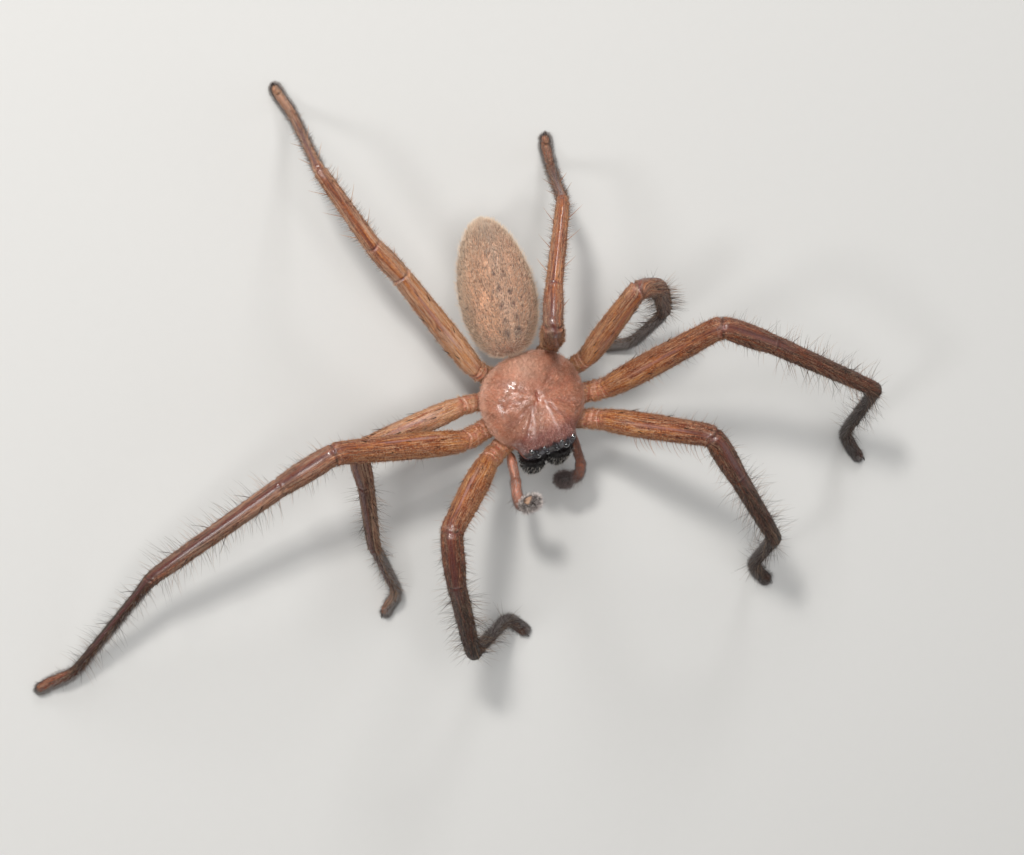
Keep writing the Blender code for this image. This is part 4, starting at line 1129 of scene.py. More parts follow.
def leg_colour(finish, look):
    """Colour along a leg: from gold over red brown to nearly black by the tone, in long streaks, under pale
    down with painted sheen on some legs.
    """
    streak = finish.patches(finish.grain(), 2.6, 3.0, 0.36, 0.64, 0.6)
    fine = finish.patches(finish.grain(), 8.0, 3.0, 0.36, 0.64, 0.6)
    speck = finish.patches(finish.place(), 5200.0, 3.0, 0.36, 0.64, 0.6)
    tone = finish.mark("tone") + (streak - 0.5) * 0.20 + (fine - 0.5) * 0.28 + (speck - 0.5) * 0.20
    tone = tone - finish.mark("flank") * 0.04
    stops = ((0.0, look.gold_colour), (0.16, look.femur_colour), (0.42, look.shank_colour),
             (0.72, scaled(look.shank_colour, 0.24)), (1.0, look.foot_colour))
    down = finish.patches(finish.grain(), 5.5, 2.0, 0.42, 0.6)
    # Pale down with painted sheen over some legs.
    frost = finish.mark("frost") * (0.2 + down * 1.1)
    colour = finish.mix(frost, finish.ramp(tone, stops), look.down_and_sheen_colour)
    dots = finish.patches(finish.place(), 9500.0, 2.0, 0.56, 0.64) * (1.0 - finish.mark("bare"))
    colour = finish.mix(dots * (0.55 - finish.mark("tone") * 0.47), colour, look.pale_hair_colour)
    smooth = finish.mark("bare") * finish.between(finish.mark("tone"), 0.24, 0.42)
    return finish.mix(smooth * 0.75, colour, look.bare_colour)


def scaled(colour, share):
    """A colour made lighter or darker by a share."""
    return tuple(min(part * share, 1.0) for part in colour)


def leg_skin_finish(look):
    """Cuticle of the legs: streaked, a glossy stripe along the back, red membranes with pale rims."""
    finish = Finish("leg_cuticle")
    colour = leg_colour(finish, look)
    bare, joint, rim = finish.mark("bare"), finish.mark("joint"), finish.mark("edge")
    down = finish.patches(finish.grain(), 13.0, 2.0, 0.5, 0.62)
    light = (1.0 - bare) * (1.0 - finish.mark("tone"))
    colour = finish.mix(down * light * 0.5, colour, look.pale_hair_colour)
    broken = finish.patches(finish.grain(), 2.1, 2.0, 0.38, 0.56)
    # The femur's pale line is a painted highlight.
    colour = finish.mix(finish.mark("line") * broken * 0.6, colour, look.line_highlight_colour)
    hip = finish.mark("hip")
    patch = finish.patches(finish.place(), 1700.0, 3.0, 0.36, 0.64)
    colour = finish.mix(hip * (0.15 + patch * 0.7), colour, look.hip_colour)
    colour = finish.mix(joint * (0.2 + patch * 0.6), colour, look.membrane_colour)
    colour = finish.mix(rim * (hip * 0.2 + patch * 0.55), colour, look.rim_colour)
    patchy = finish.noise(finish.place(), 2600.0)
    rough = 0.5 - bare * 0.24 - hip * 0.2 + (patchy - 0.5) * 0.24
    pits = finish.noise(finish.place(), 6500.0, 3.0)
    height = (finish.noise(finish.grain(), 9.0, 4.0) + down * 0.6 + pits * 0.7) * (1.0 - bare * 0.75)
    normal = finish.bump(height, 0.9, 0.06)
    return finish.shade(colour, rough, normal, Specular_IOR_Level=0.5, Coat_Weight=bare * 0.8,
                        Coat_Roughness=0.2)


def leg_hair_finish(look):
    """Hairs of the legs: the skin's colour at the root, paler to the tip by the hair's pale share."""
    finish = Finish("leg_hair")
    colour = leg_colour(finish, look)
    pale, lift = finish.mark("pale"), finish.mark("lift")
    light = finish.between(lift, -0.4, 0.8) * finish.between(pale, 0.0, 1.0)
    colour = finish.mix(light, colour, look.pale_hair_colour)
    dark = finish.between(pale, 0.0, -1.0)
    colour = finish.mix(dark, colour, look.spine_colour)
    return finish.shade(colour, 0.4, Specular_IOR_Level=0.35)


def brush_finish(name, look, share):
    """Grey brush hairs under the feet, and paler by the share on the palps' tips."""
    finish = Finish(name)
    tint = finish.noise(finish.place(), 2200.0)
    lift = finish.mark("lift")
    colour = finish.shades(tint, look.brush_colour, 0.6 * share, 1.3 * share)
    tips = finish.between(lift, -0.5, 1.0) * finish.between(finish.mark("pale"), 0.3, 1.0)
    colour = finish.mix(tips, colour, scaled(look.brush_tip_colour, share))
    return finish.shade(colour, 0.5, Specular_IOR_Level=0.4)


def palp_finish(look, brush_colour):
    """Palps: glossy red brown shafts with long streaks, painted shade over the left palp and both palps'
    tibiae, dusky tips, a beige spot with a dark hole.
    """
    finish = Finish("palp_cuticle")
    streak = finish.patches(finish.grain(), 3.0, 3.0, 0.35, 0.65)
    fine = finish.noise(finish.grain(), 14.0, 3.0)
    colour = finish.shades(streak, look.palp_colour, 0.5, 1.3)
    down = finish.patches(finish.grain(), 22.0, 2.0, 0.5, 0.7)
    colour = finish.mix(down * 0.6, colour, look.hair_colour)
    colour = finish.mix(finish.mark("dusk"), colour, scaled(look.palp_colour, 0.22))
    colour = finish.mix(finish.mark("tip"), colour, scaled(brush_colour, 0.5))
    colour = finish.mix(finish.mark("spot") * 0.9, colour, look.spot_colour)
    colour = finish.mix(finish.mark("hole"), colour, HOLE_COLOUR)
    rough = 0.34 + finish.mark("tip") * 0.25 + (fine - 0.5) * 0.3
    return finish.shade(colour, rough, finish.bump(fine + down * 0.5, 0.8, 0.06), Coat_Weight=0.12,
                        Coat_Roughness=0.2)


def carapace_colour(finish, look):
    """Pinkish brown, with painted highlights on the ridges, darker furrows, a pale rim, a pale rear patch
    that is partly painted highlight, and a dusky front with a black mask.
    """
    blotch = finish.patches(finish.grain(), 1.1, 3.0, 0.34, 0.66, 0.6)
    fine = finish.noise(finish.grain(), 7.0, 4.0, 0.65)
    colour = finish.shades(blotch, look.carapace_colour, 0.7, 1.22)
    colour = finish.mix(finish.between(fine, 0.44, 0.64) * 0.45, colour, look.hair_colour)
    colour = finish.mix(finish.mark("furrow") * 0.7, colour, look.furrow_colour)
    dusk = finish.mark("dusk")
    colour = finish.mix(finish.between(dusk, 0.0, 0.6) * 0.74, colour, look.dusk_colour)
    grains = finish.noise(finish.grain(), 15.0, 2.0)
    grit = finish.between(grains, 0.52, 0.42) * dusk * 0.55
    colour = finish.mix(grit, colour, scaled(look.dusk_colour, 0.35))
    colour = finish.mix(finish.between(grains, 0.55, 0.65) * dusk * 0.6, colour, look.ridge_highlight_colour)
    glint = finish.patches(finish.grain(), 5.0, 3.0, 0.35, 0.6, 0.6)
    # The ridges' pale colour, broken by the glint noise, is a painted highlight.
    colour = finish.mix(finish.mark("ridge") * (0.25 + glint * 0.6), colour, look.ridge_highlight_colour)
    # Pale rim and rear patch; the rear patch is partly painted highlight.
    colour = finish.mix(finish.mark("rim") * 0.5, colour, look.hair_colour)
    mask = finish.mark("mask") + (fine - 0.5) * 1.5 + (grains - 0.5) * 0.8
    colour = finish.mix(finish.between(mask, 0.3, 0.75), colour, look.mask_colour)
    bluish = finish.patches(finish.grain(), 1.9, 2.0, 0.5, 0.6)
    bluish = bluish * finish.between(grains, 0.4, 0.55)
    colour = finish.mix(bluish * finish.mark("mask") * 0.4, colour, look.eye_hair_colour)
    face = finish.between(finish.mark("face") + (fine - 0.5) * 0.8, 0.35, 0.75)
    clypeus = finish.mix(blotch, scaled(look.clypeus_colour, 0.5), look.clypeus_colour)
    colour = finish.mix(face * 0.85, colour, clypeus)
    return finish.mix(finish.mark("under") * 0.7, colour, look.under_colour)


def carapace_finish(look):
    """Cuticle of the fore body, glossy in patches."""
    finish = Finish("carapace_cuticle")
    colour = carapace_colour(finish, look)
    fine = finish.noise(finish.grain(), 7.0, 4.0, 0.65)
    swell = finish.noise(finish.grain(), 2.3, 3.0, 0.6)
    down = finish.noise(finish.grain(), 19.0, 3.0, 0.6)
    rough = 0.36 + (fine - 0.5) * 0.4 + finish.mark("rim") * 0.15
    normal = finish.bump(swell * 1.7 + fine * 0.9 + down * 0.35, 0.7, 0.07)
    shine = 0.9 - finish.mark("mask") * 0.8
    return finish.shade(colour, rough, normal, Specular_IOR_Level=0.5, Subsurface_Weight=0.06,
                        Subsurface_Scale=0.0005, Coat_Weight=finish.between(swell, 0.42, 0.56) * shine,
                        Coat_Roughness=0.22, Coat_IOR=1.9)


def carapace_hair_finish(look):
    """The carapace's hair: the skin's colours, paler to the tip by the hair's pale share."""
    finish = Finish("carapace_hair")
    light = finish.between(finish.mark("lift"), -0.3, 0.9) * finish.mark("pale")
    colour = finish.mix(light, carapace_colour(finish, look), look.hair_colour)
    return finish.shade(colour, 0.4, Specular_IOR_Level=0.4)


def body_hair_finish(name, colour, pale_colour, roughness, sheen=0.2, gloss=0.35, reach=(-0.3, 0.9)):
    """Hair of one colour at the root, paler to the tip by its pale share over a reach along it."""
    finish = Finish(name)
    tint = finish.noise(finish.place(), 1500.0)
    base = finish.shades(tint, colour, 0.7, 1.3)
    light = finish.between(finish.mark("lift"), *reach) * finish.mark("pale")
    return finish.shade(finish.mix(light, base, pale_colour), roughness, Specular_IOR_Level=gloss,
                        Sheen_Weight=sheen)


def abdomen_colour(finish, look):
    """Fawn coat, greyer on the flanks and the band, with dark flecks in rows and larger dark spots."""
    blotch = finish.patches(finish.grain(), 1.3, 3.0, 0.34, 0.66, 0.6)
    fleck = finish.noise(finish.grain(), 9.5, 2.0, 0.55)
    colour = finish.shades(blotch, look.coat_colour, 0.8, 1.14)
    colour = finish.mix(finish.mark("band") * (0.25 + blotch * 0.5), colour, look.band_colour)
    colour = finish.mix(finish.mark("flank") * 0.75, colour, look.side_colour)
    dark = finish.between(fleck, 0.57, 0.62) * (1.0 - finish.mark("belly"))
    colour = finish.mix(dark * 0.8, colour, look.fleck_colour)
    spots = finish.mark("spots") * (0.5 + finish.between(fleck, 0.4, 0.6) * 0.4)
    colour = finish.mix(spots, colour, look.fleck_colour)
    colour = finish.mix(finish.mark("front") * 0.7, colour, look.front_colour)
    return finish.mix(finish.mark("belly") * 0.5, colour, look.belly_colour)


def abdomen_skin_finish(look):
    """The skin under the abdomen's coat."""
    finish = Finish("abdomen_skin")
    colour = abdomen_colour(finish, look)
    height = finish.noise(finish.grain(), 16.0, 4.0, 0.7)
    return finish.shade(colour, 0.75, finish.bump(height, 0.7, 0.08), Sheen_Weight=0.25)


def abdomen_coat_finish(look):
    """The abdomen's hairs, with the skin's markings and pale tips, and some dark from root to tip."""
    finish = Finish("abdomen_coat")
    colour = abdomen_colour(finish, look)
    pale = finish.mark("pale")
    light = finish.between(finish.mark("lift"), -0.2, 1.0) * finish.between(pale, 0.0, 1.0)
    colour = finish.mix(light, colour, look.pale_colour)
    colour = finish.mix(finish.between(pale, 0.0, -1.0) * 0.85, colour, look.fleck_colour)
    return finish.shade(colour, 0.55, Sheen_Weight=0.25)


def mottled_finish(name, colour, spread, roughness, bumps, **constants):
    """A plain part's finish: its colour varied by noise, with fine bumps."""
    finish = Finish(name)
    tint = finish.noise(finish.place(), 900.0, 4.0, 0.6)
    fine = finish.noise(finish.place(), 7000.0, 3.0)
    shade = finish.shades(tint, colour, 1.0 - spread, 1.0 + spread)
    rough = roughness + (fine - 0.5) * 0.2
    return finish.shade(shade, rough, finish.bump(fine, bumps, 0.04), **constants)


def colour_setting(name, description, default):
    """A colour that a user may change."""
    return bpy.props.FloatVectorProperty(name=name, description=description, default=default, size=3,
                                         min=0.0, max=1.0, subtype="COLOR")


def length_setting(name, description, millimetres):
    """A length that a user may change, stored in metres."""
    return bpy.props.FloatProperty(name=name, description=description, default=millimetres * MM, min=0.0,
                                   precision=5, unit="LENGTH")


def share_setting(name, description, default):
    """A plain factor that a user may change."""
    return bpy.props.FloatProperty(name=name, description=description, default=default, min=0.0,
                                   subtype="FACTOR")


def count_setting(name, description, default):
    """A number of hairs that a user may change."""
    return bpy.props.IntProperty(name=name, description=description, default=default, min=0)


def power_setting(name, description, watts):
    """A lamp's power that a user may change."""
    return bpy.props.FloatProperty(name=name, description=description, default=watts, min=0.0)


class ForeBodyLook(bpy.types.PropertyGroup):
    """Sizes and colours of the fore body and the mouth parts."""

    carapace_colour: colour_setting("Carapace", "Main colour of the carapace", (0.42, 0.150, 0.082))
    hair_colour: colour_setting("Body hair", "Pale hair of the carapace and its rim", (0.76, 0.47, 0.35))
    furrow_colour: colour_setting("Furrows", "Darker colour in the furrows", (0.24, 0.045, 0.025))
    # Colour of the painted highlight on the ridges; the head's pale specks take it too.
    ridge_highlight_colour: colour_setting("Ridges", "Pale ridges behind the eyes", (0.82, 0.60, 0.56))
    dusk_colour: colour_setting("Dusk", "Reddish purple of the head's front", (0.19, 0.050, 0.048))
    mask_colour: colour_setting("Mask", "Dark ground between the eyes", (0.014, 0.008, 0.010))
    eye_hair_colour: colour_setting("Eye hair", "Bluish grey hair between the eyes", (0.34, 0.35, 0.44))
    clypeus_colour: colour_setting("Clypeus", "Orange red line below the eyes", (0.40, 0.080, 0.032))
    under_colour: colour_setting("Underside", "Colour under the margin", (0.42, 0.19, 0.10))
    chelicera_colour: colour_setting("Chelicerae", "Black of the chelicerae", (0.008, 0.005, 0.005))
    fringe_colour: colour_setting("Fringe", "Pale tips of the chelicerae's bristles", (0.90, 0.84, 0.76))
    fang_colour: colour_setting("Fangs", "Dark red of the fangs", (0.05, 0.009, 0.007))
    eye_colour: colour_setting("Eyes", "Black of the eyes", (0.004, 0.004, 0.006))
    palp_colour: colour_setting("Palps", "Red brown of the palps", (0.47, 0.165, 0.095))
    spot_colour: colour_setting("Palp spot", "Beige spot on the palps' tips", (0.58, 0.36, 0.24))
    hair_length: length_setting("Hair length", "Length of the carapace's short hair", 0.22)
    hair_count: count_setting("Hair count", "Hairs on the carapace", 23000)


class LegLook(bpy.types.PropertyGroup):
    """Sizes and colours of the legs."""

    gold_colour: colour_setting("Gold", "Palest streaks of the femora", (0.46, 0.185, 0.055))
    femur_colour: colour_setting("Femur", "Orange brown of the femora", (0.32, 0.092, 0.024))
    shank_colour: colour_setting("Shank", "Red brown of patella and tibia", (0.148, 0.029, 0.011))
    foot_colour: colour_setting("Foot", "Nearly black ends of the legs", (0.010, 0.006, 0.005))
    hip_colour: colour_setting("Hip", "Pinkish coxae and trochanters", (0.44, 0.185, 0.115))
    membrane_colour: colour_setting("Membrane", "Red membranes at the joints", (0.36, 0.07, 0.04))
    rim_colour: colour_setting("Rims", "Pale rims before the joints", (0.80, 0.55, 0.45))
    # Pinkish pale down with painted sheen, over the hind legs.
    down_and_sheen_colour: colour_setting("Frost", "Pinkish pale down over the hind legs", (0.60, 0.40, 0.29))
    bare_colour: colour_setting("Bare stripe", "Purplish brown of the smooth stripes", (0.095, 0.030, 0.027))
    # Colour of the painted highlight along the femora.
    line_highlight_colour: colour_setting("Stripe", "Bluish white line along the femora", (0.42, 0.27, 0.27))
    pale_hair_colour: colour_setting("Pale hair", "Pale tips of the leg hair", (0.72, 0.48, 0.30))
    spine_colour: colour_setting("Spines", "Dark brown of spines and bristles", (0.022, 0.010, 0.007))
    brush_colour: colour_setting("Brushes", "Grey of the brushes under the feet", (0.085, 0.067, 0.064))
    brush_tip_colour: colour_setting("Brush tips", "Pale grey ends of the brushes", (0.42, 0.38, 0.36))
    hair_length: length_setting("Hair length", "Length of the short leg hair", 0.3)
    fuzz_length: length_setting("Fuzz length", "Length of the finer hair that stands up", 0.28)
    bristle_length: length_setting("Bristle length", "Length of the long standing bristles", 2.1)
    hair_density: share_setting("Hair density", "Short hairs for each square millimetre", 42.0)


class AbdomenLook(bpy.types.PropertyGroup):
    """Sizes and colours of the abdomen."""

    coat_colour: colour_setting("Coat", "Orange fawn of the coat", (0.62, 0.34, 0.205))
    band_colour: colour_setting("Band", "Greyish band along the back", (0.58, 0.40, 0.30))
    side_colour: colour_setting("Sides", "Greyish fawn of the flanks", (0.58, 0.40, 0.26))
    fleck_colour: colour_setting("Flecks", "Dark flecks and spots", (0.085, 0.038, 0.036))
    front_colour: colour_setting("Front", "Reddish front edge", (0.46, 0.14, 0.06))
    belly_colour: colour_setting("Belly", "Greyish underside", (0.40, 0.28, 0.20))
    pale_colour: colour_setting("Pale tips", "Tips of the coat's hairs", (0.88, 0.70, 0.53))
    coat_depth: length_setting("Coat depth", "How far the skin lies inside the solid", 0.16)
    coat_length: length_setting("Coat length", "Length of the lying hairs", 0.42)
    coat_count: count_setting("Coat count", "Lying hairs on the abdomen", 48000)
    pedicel_colour: colour_setting("Pedicel", "Red brown of the pedicel and spinnerets", (0.34, 0.12, 0.06))


class StageLook(bpy.types.PropertyGroup):
    """Floor and lights."""

    floor_colour: colour_setting("Floor", "Colour of the floor", (0.60, 0.60, 0.59))
    floor_half: length_setting("Floor half size", "Half the side of the square floor", 1500.0)
    softbox_power: power_setting("Softbox", "Power of the large light overhead in watts", 0.95)
    key_power: power_setting("Key light", "Power of the small key light in watts", 1.4)
    side_power: power_setting("Side light", "Power of the light from the spider's right in watts", 0.5)
    rim_power: power_setting("Rim light", "Power of the light from behind in watts", 0.7)
    fill_power: power_setting("Fill light", "Power of the fill light in watts", 0.5)
    sky_share: share_setting("Surroundings", "Strength of the even light all round", 0.15)


def ring_backs(points, back):
    """The same back for each stretch of a path."""
    return [np.asarray(back, float)] * (len(points) - 1)


def path_tube(path, halves, back, rounding=0.3, closing=0.25):
    """A tube through a path with a half width and half depth at each point, drawn in at its ends."""
    points = np.asarray(path, float)
    table = []
    for i, half in enumerate(halves):
        wide, deep = half if isinstance(half, tuple) else (half, half)
        table.append((float(i), wide, deep))
    last = len(points) - 1.0
    first_half, last_half = table[0], table[-1]
    start = (0.0, first_half[1] * closing, first_half[2] * closing)
    end = (last, last_half[1] * closing, last_half[2] * closing)
    table = [start, (0.18, first_half[1], first_half[2])] + table[1:-1]
    table += [(last - 0.18, last_half[1], last_half[2]), end]
    return Tube(points, ring_backs(points, back), table, rounding, 0.1)


def fore_tube(path, sign, halves, back):
    """A tube whose path and back are given for the left side in the fore body frame."""
    return path_tube(standing(mirrored(path, sign)), halves, tipped(back))


def new_light(name, place, size, power, colour):
    """A square area light that faces the middle of the floor."""
    lamp = bpy.data.lights.new(name, "AREA")
    lamp.shape = "SQUARE"
    lamp.size = size
    lamp.energy = power
    lamp.color = colour
    light = bpy.data.objects.new(name, lamp)
    light.location = Vector(place)
    light.rotation_euler = (-Vector(place)).to_track_quat("-Z", "Y").to_euler()
    bpy.context.scene.collection.objects.link(light)


def new_camera():
    """The photograph's camera, turned with the model onto the floor."""
    lens = bpy.data.cameras.new("camera")
    lens.lens = CAMERA_LENS
    lens.sensor_width = SENSOR_WIDTH
    lens.sensor_fit = "HORIZONTAL"
    lens.clip_start = 0.01
    lens.clip_end = 20.0
    camera = bpy.data.objects.new("camera", lens)
    turn = Matrix((CAMERA_RIGHT, CAMERA_UP, CAMERA_BACK)).transposed()
    camera.matrix_world = Matrix.Translation(Vector(row(CAMERA_PLACE))) @ turn.to_4x4()
    bpy.context.scene.collection.objects.link(camera)
    bpy.context.scene.camera = camera


class SPIDER_OT_stage(bpy.types.Operator):
    """Adds the floor, the lights and the camera"""

    bl_idname = "spider.stage"
    bl_label = "Stage"

    def execute(self, context):
        look = context.scene.spider_stage
        half = look.floor_half
        corners = np.array(((-half, -half, 0.0), (half, -half, 0.0), (half, half, 0.0), (-half, half, 0.0)))
        mesh = new_mesh("floor", corners, np.array(((0, 1, 2, 3),)), np.zeros((0, 3), int), {})
        floor = bpy.data.objects.new("floor", mesh)
        context.scene.collection.objects.link(floor)
        mesh.materials.append(mottled_finish("floor_paint", look.floor_colour, 0.01, 0.8, 0.0))
        for name, place, size, colour in LAMPS:
            new_light(name, place, size, getattr(look, f"{name}_power"), colour)
        world = bpy.data.worlds.new("surroundings")
        world.use_nodes = True
        sky = world.node_tree.nodes["Background"]
        sky.inputs["Color"].default_value = (1.0, 1.0, 1.0, 1.0)
        sky.inputs["Strength"].default_value = look.sky_share
        context.scene.world = world
        context.scene.view_settings.view_transform = "Standard"
        new_camera()
        return {"FINISHED"}


class SPIDER_OT_prosoma(bpy.types.Operator):
    """Adds the fore body's skin with its furrows, and its short hair and rim fringe"""

    bl_idname = "spider.prosoma"
    bl_label = "Fore body"

    def execute(self, context):
        look = context.scene.spider_fore_body
        body = Prosoma()
        skin_piece("carapace_skin", body, carapace_finish(look), ("carapace",))
        hair = Coat("carapace_coat", 11)
        count = look.hair_count
        along = 2.0 / math.pi * np.arcsin(np.sqrt(hair.spread(count, 0.01, 0.97)))
        turn = hair.spread(count, -math.pi, math.pi)
        kept = hair.spread(count, 0.0, 1.0) > 0.85 * body.marks(along, turn)["mask"]
        along, turn = along[kept], turn[kept]
        count = len(along)
        length = look.hair_length / MM * hair.spread(count, 0.7, 1.2)
        hair.grow(body, along, turn, length, 0.011, hair.spread(count, 8.0, 26.0), -6.0, 0.35,
                  hair.spread(count, 0.0, 1.0) ** 1.6 * self.paleness(body.marks(along, turn)))
        along = hair.spread(RIM_HAIRS, 0.93, 1.06)
        turn = hair.spread(RIM_HAIRS, FACE_TURN, math.tau - FACE_TURN)
        turn = wrapped(turn - math.tau * (hair.spread(RIM_HAIRS, 0.0, 1.0) < 0.5))
        length = 0.36 * hair.spread(RIM_HAIRS, 0.6, 1.2)
        hair.grow(body, along, turn, length, 0.012, (20.0, 60.0), -20.0, 0.4, (0.6, 1.0), 2)
        hair.piece(carapace_hair_finish(look), "carapace_cuticle")
        return {"FINISHED"}

    @staticmethod
    def paleness(marks):
        """Less pale towards the eyes, and not at all on the dark mask round them."""
        return (1.0 - 0.6 * marks["dusk"]) * (1.0 - ease(marks["mask"], 0.0, 0.4))


class SPIDER_OT_eyes(bpy.types.Operator):
    """Adds the eight eyes and the pale and dark bristles round them"""

    bl_idname = "spider.eyes"
    bl_label = "Eyes"

    def execute(self, context):
        look = context.scene.spider_fore_body
        gloss = mottled_finish("eye_cornea", look.eye_colour, 0.2, 0.08, 0.0, Specular_IOR_Level=0.9,
                              Coat_Weight=1.0, Coat_Roughness=0.05, Coat_IOR=2.2)
        for label, side, ahead, radius in EYES:
            for tag, sign in (("l", 1.0), ("r", -1.0)):
                x, y = np.array(sign * side), np.array(-ahead)
                centre = carapace_point(x, y) - carapace_normal(x, y) * EYE_SINK
                eye = Ball(standing(centre), (radius,) * 3, 24, 16)
                skin_piece(f"eye_{label}_{tag}_lens", eye, gloss, (f"eye_{label}_{tag}",))
        self.hair_between(Prosoma(), look)
        return {"FINISHED"}

    @staticmethod
    def hair_between(body, look):
        """Bluish grey hair between the eyes, and black bristles that stand over the face."""
        for name, seed, count, reach, thick, low, high, colour in (
                ("eye_hair", 91, 110, 0.2, 0.012, 15.0, 50.0, look.eye_hair_colour),
                ("face_bristles", 92, 120, 0.6, 0.013, 45.0, 80.0, look.mask_colour)):
            hair = Coat(name, seed)
            along = hair.spread(count, 0.66, 0.86)
            turn = hair.draw.choice(EYE_GAPS, count) + hair.draw.normal(0.0, 0.035, count)
            length = reach * hair.spread(count, 0.5, 1.2)
            lean = hair.spread(count, low, high)
            pale = hair.spread(count, 0.0, 1.0) * (reach < 0.5)
            hair.grow(body, along, turn, length, thick, lean, -10.0, 0.7, pale, 2)
            if reach > 0.5:
                along = hair.spread(CLYPEUS_HAIRS, 0.86, 1.06)
                hair.grow(body, along, (-0.5, 0.5), (0.12, 0.34), 0.012, (20.0, 60.0), -15.0, 0.4,
                          (-0.4, 0.7), 2)
            finish = body_hair_finish(name, scaled(colour, 0.6), scaled(look.eye_hair_colour, 1.3), 0.4, 0.0)
            hair.piece(finish, "carapace_cuticle")


class SPIDER_OT_mouth_parts(bpy.types.Operator):
    """Adds the chelicerae with their bristles, the fangs, maxillae, labium and sternum"""

    bl_idname = "spider.mouth_parts"
    bl_label = "Mouth parts"

    def execute(self, context):
        look = context.scene.spider_fore_body
        black = mottled_finish("chelicera_cuticle", look.chelicera_colour, 0.4, 0.3, 0.5,
                               Specular_IOR_Level=0.12)
        horn = mottled_finish("fang_cuticle", look.fang_colour, 0.4, 0.16, 0.1, Coat_Weight=0.3)
        under = mottled_finish("underside_cuticle", look.under_colour, 0.25, 0.5, 0.5)
        bristle = body_hair_finish("chelicera_bristles", BRISTLE_COLOUR, look.fringe_colour, 0.5, 0.0, 0.1,
                                   (0.3, 0.7))
        for number, (tag, sign) in enumerate((("l", 1.0), ("r", -1.0))):
            halves = [(wide * CHELICERA_PLUMPNESS, deep) for wide, deep in CHELICERA_HALF]
            chelicera = fore_tube(CHELICERA_PATH, sign, halves, (0.0, -1.0, 0.0))
            skin_piece(f"chelicera_{tag}_skin", chelicera, black, (f"chelicera_{tag}",))
            hair = Coat(f"chelicera_{tag}_bristles", 31 + number)
            along = hair.spread(CHELICERA_HAIRS, 0.3, 4.8)
            turn = hair.draw.normal(0.0, 1.1, CHELICERA_HAIRS)
            hair.grow(chelicera, along, turn, (0.15, 0.35), 0.014, (40.0, 80.0), -25.0, 0.4, 0.0, 2)
            along = hair.spread(CHELICERA_BRISTLES, 1.5, 4.6)
            turn = hair.draw.normal(-0.25 * sign, 1.0, CHELICERA_BRISTLES)
            hair.grow(chelicera, along, turn, (0.3, 0.5), 0.019, (50.0, 88.0), -20.0, 0.5, (0.3, 1.1), 3)
            hair.piece(bristle, "chelicera_cuticle")
            fang = fore_tube((FANG_ROOT,) + FANG_PATH, sign, FANG_HALF[:1] + FANG_HALF, (0.0, -1.0, 0.0))
            skin_piece(f"fang_{tag}_skin", fang, horn, (f"fang_{tag}",))
            maxilla = fore_tube(MAXILLA_PATH, sign, MAXILLA_HALF, (0.0, 0.0, 1.0))
            skin_piece(f"maxilla_{tag}_skin", maxilla, under, (f"maxilla_{tag}",))
        sternum = Ball(standing(STERNUM_CENTRE), STERNUM_HALF, 48, 24, 0.8)
        skin_piece("sternum_skin", sternum, under, ("sternum",))
        labium = Ball(standing(LABIUM_CENTRE), LABIUM_HALF, 32, 18, 0.8)
        skin_piece("labium_skin", labium, under, ("labium",))
        return {"FINISHED"}


class SPIDER_OT_palps(bpy.types.Operator):
    """Adds the palps with their swollen, brushy tips"""

    bl_idname = "spider.palps"
    bl_label = "Palps"

    def execute(self, context):
        look = context.scene.spider_fore_body
        legs = context.scene.spider_legs
        finish = palp_finish(look, legs.brush_colour)
        brush = brush_finish("palp_hair", legs, 2.4)
        for number, tag in enumerate(("l", "r")):
            palp = Palp(tag)
            skin_piece(f"palp_{tag}_skin", palp, finish, (f"palp_{tag}", f"palp_{tag}_tip"))
            hair = Coat(f"palp_{tag}_brush", 41 + number)
            along = hair.spread(PALP_BRUSH_HAIRS, 3.12, 3.99)
            turn = hair.spread(PALP_BRUSH_HAIRS, *ROUND)
            bare = palp.marks(along, turn)["spot"]
            along, turn = along[bare < 0.4], turn[bare < 0.4]
            count = len(along)
            # The left palp's hairs are dimmed: painted shade.
            light = 0.25 + 0.75 * palp.bare
            length, lean = hair.spread(count, 0.22, 0.5), hair.spread(count, 55.0, 88.0)
            pale = hair.spread(count, 0.2, 1.4) * light
            hair.grow(palp, along, turn, length, 0.017, lean, -8.0, 0.5, pale, 2)
            along = hair.spread(PALP_BRISTLES, 2.2, 3.9)
            hair.grow(palp, along, ROUND, (0.5, 0.8), 0.014, (45.0, 80.0), -15.0, 0.3, 0.3, 3)
            along, turn = hair.spread(PALP_HAIRS, 0.3, 3.1), hair.spread(PALP_HAIRS, *ROUND)
            length, lean = hair.spread(PALP_HAIRS, 0.15, 0.34), hair.spread(PALP_HAIRS, 20.0, 65.0)
            pale = hair.spread(PALP_HAIRS, 0.2, 1.0) * light
            hair.grow(palp, along, turn, length, 0.013, lean, -15.0, 0.3, pale)
            hair.piece(brush, "palp_brush")
        return {"FINISHED"}


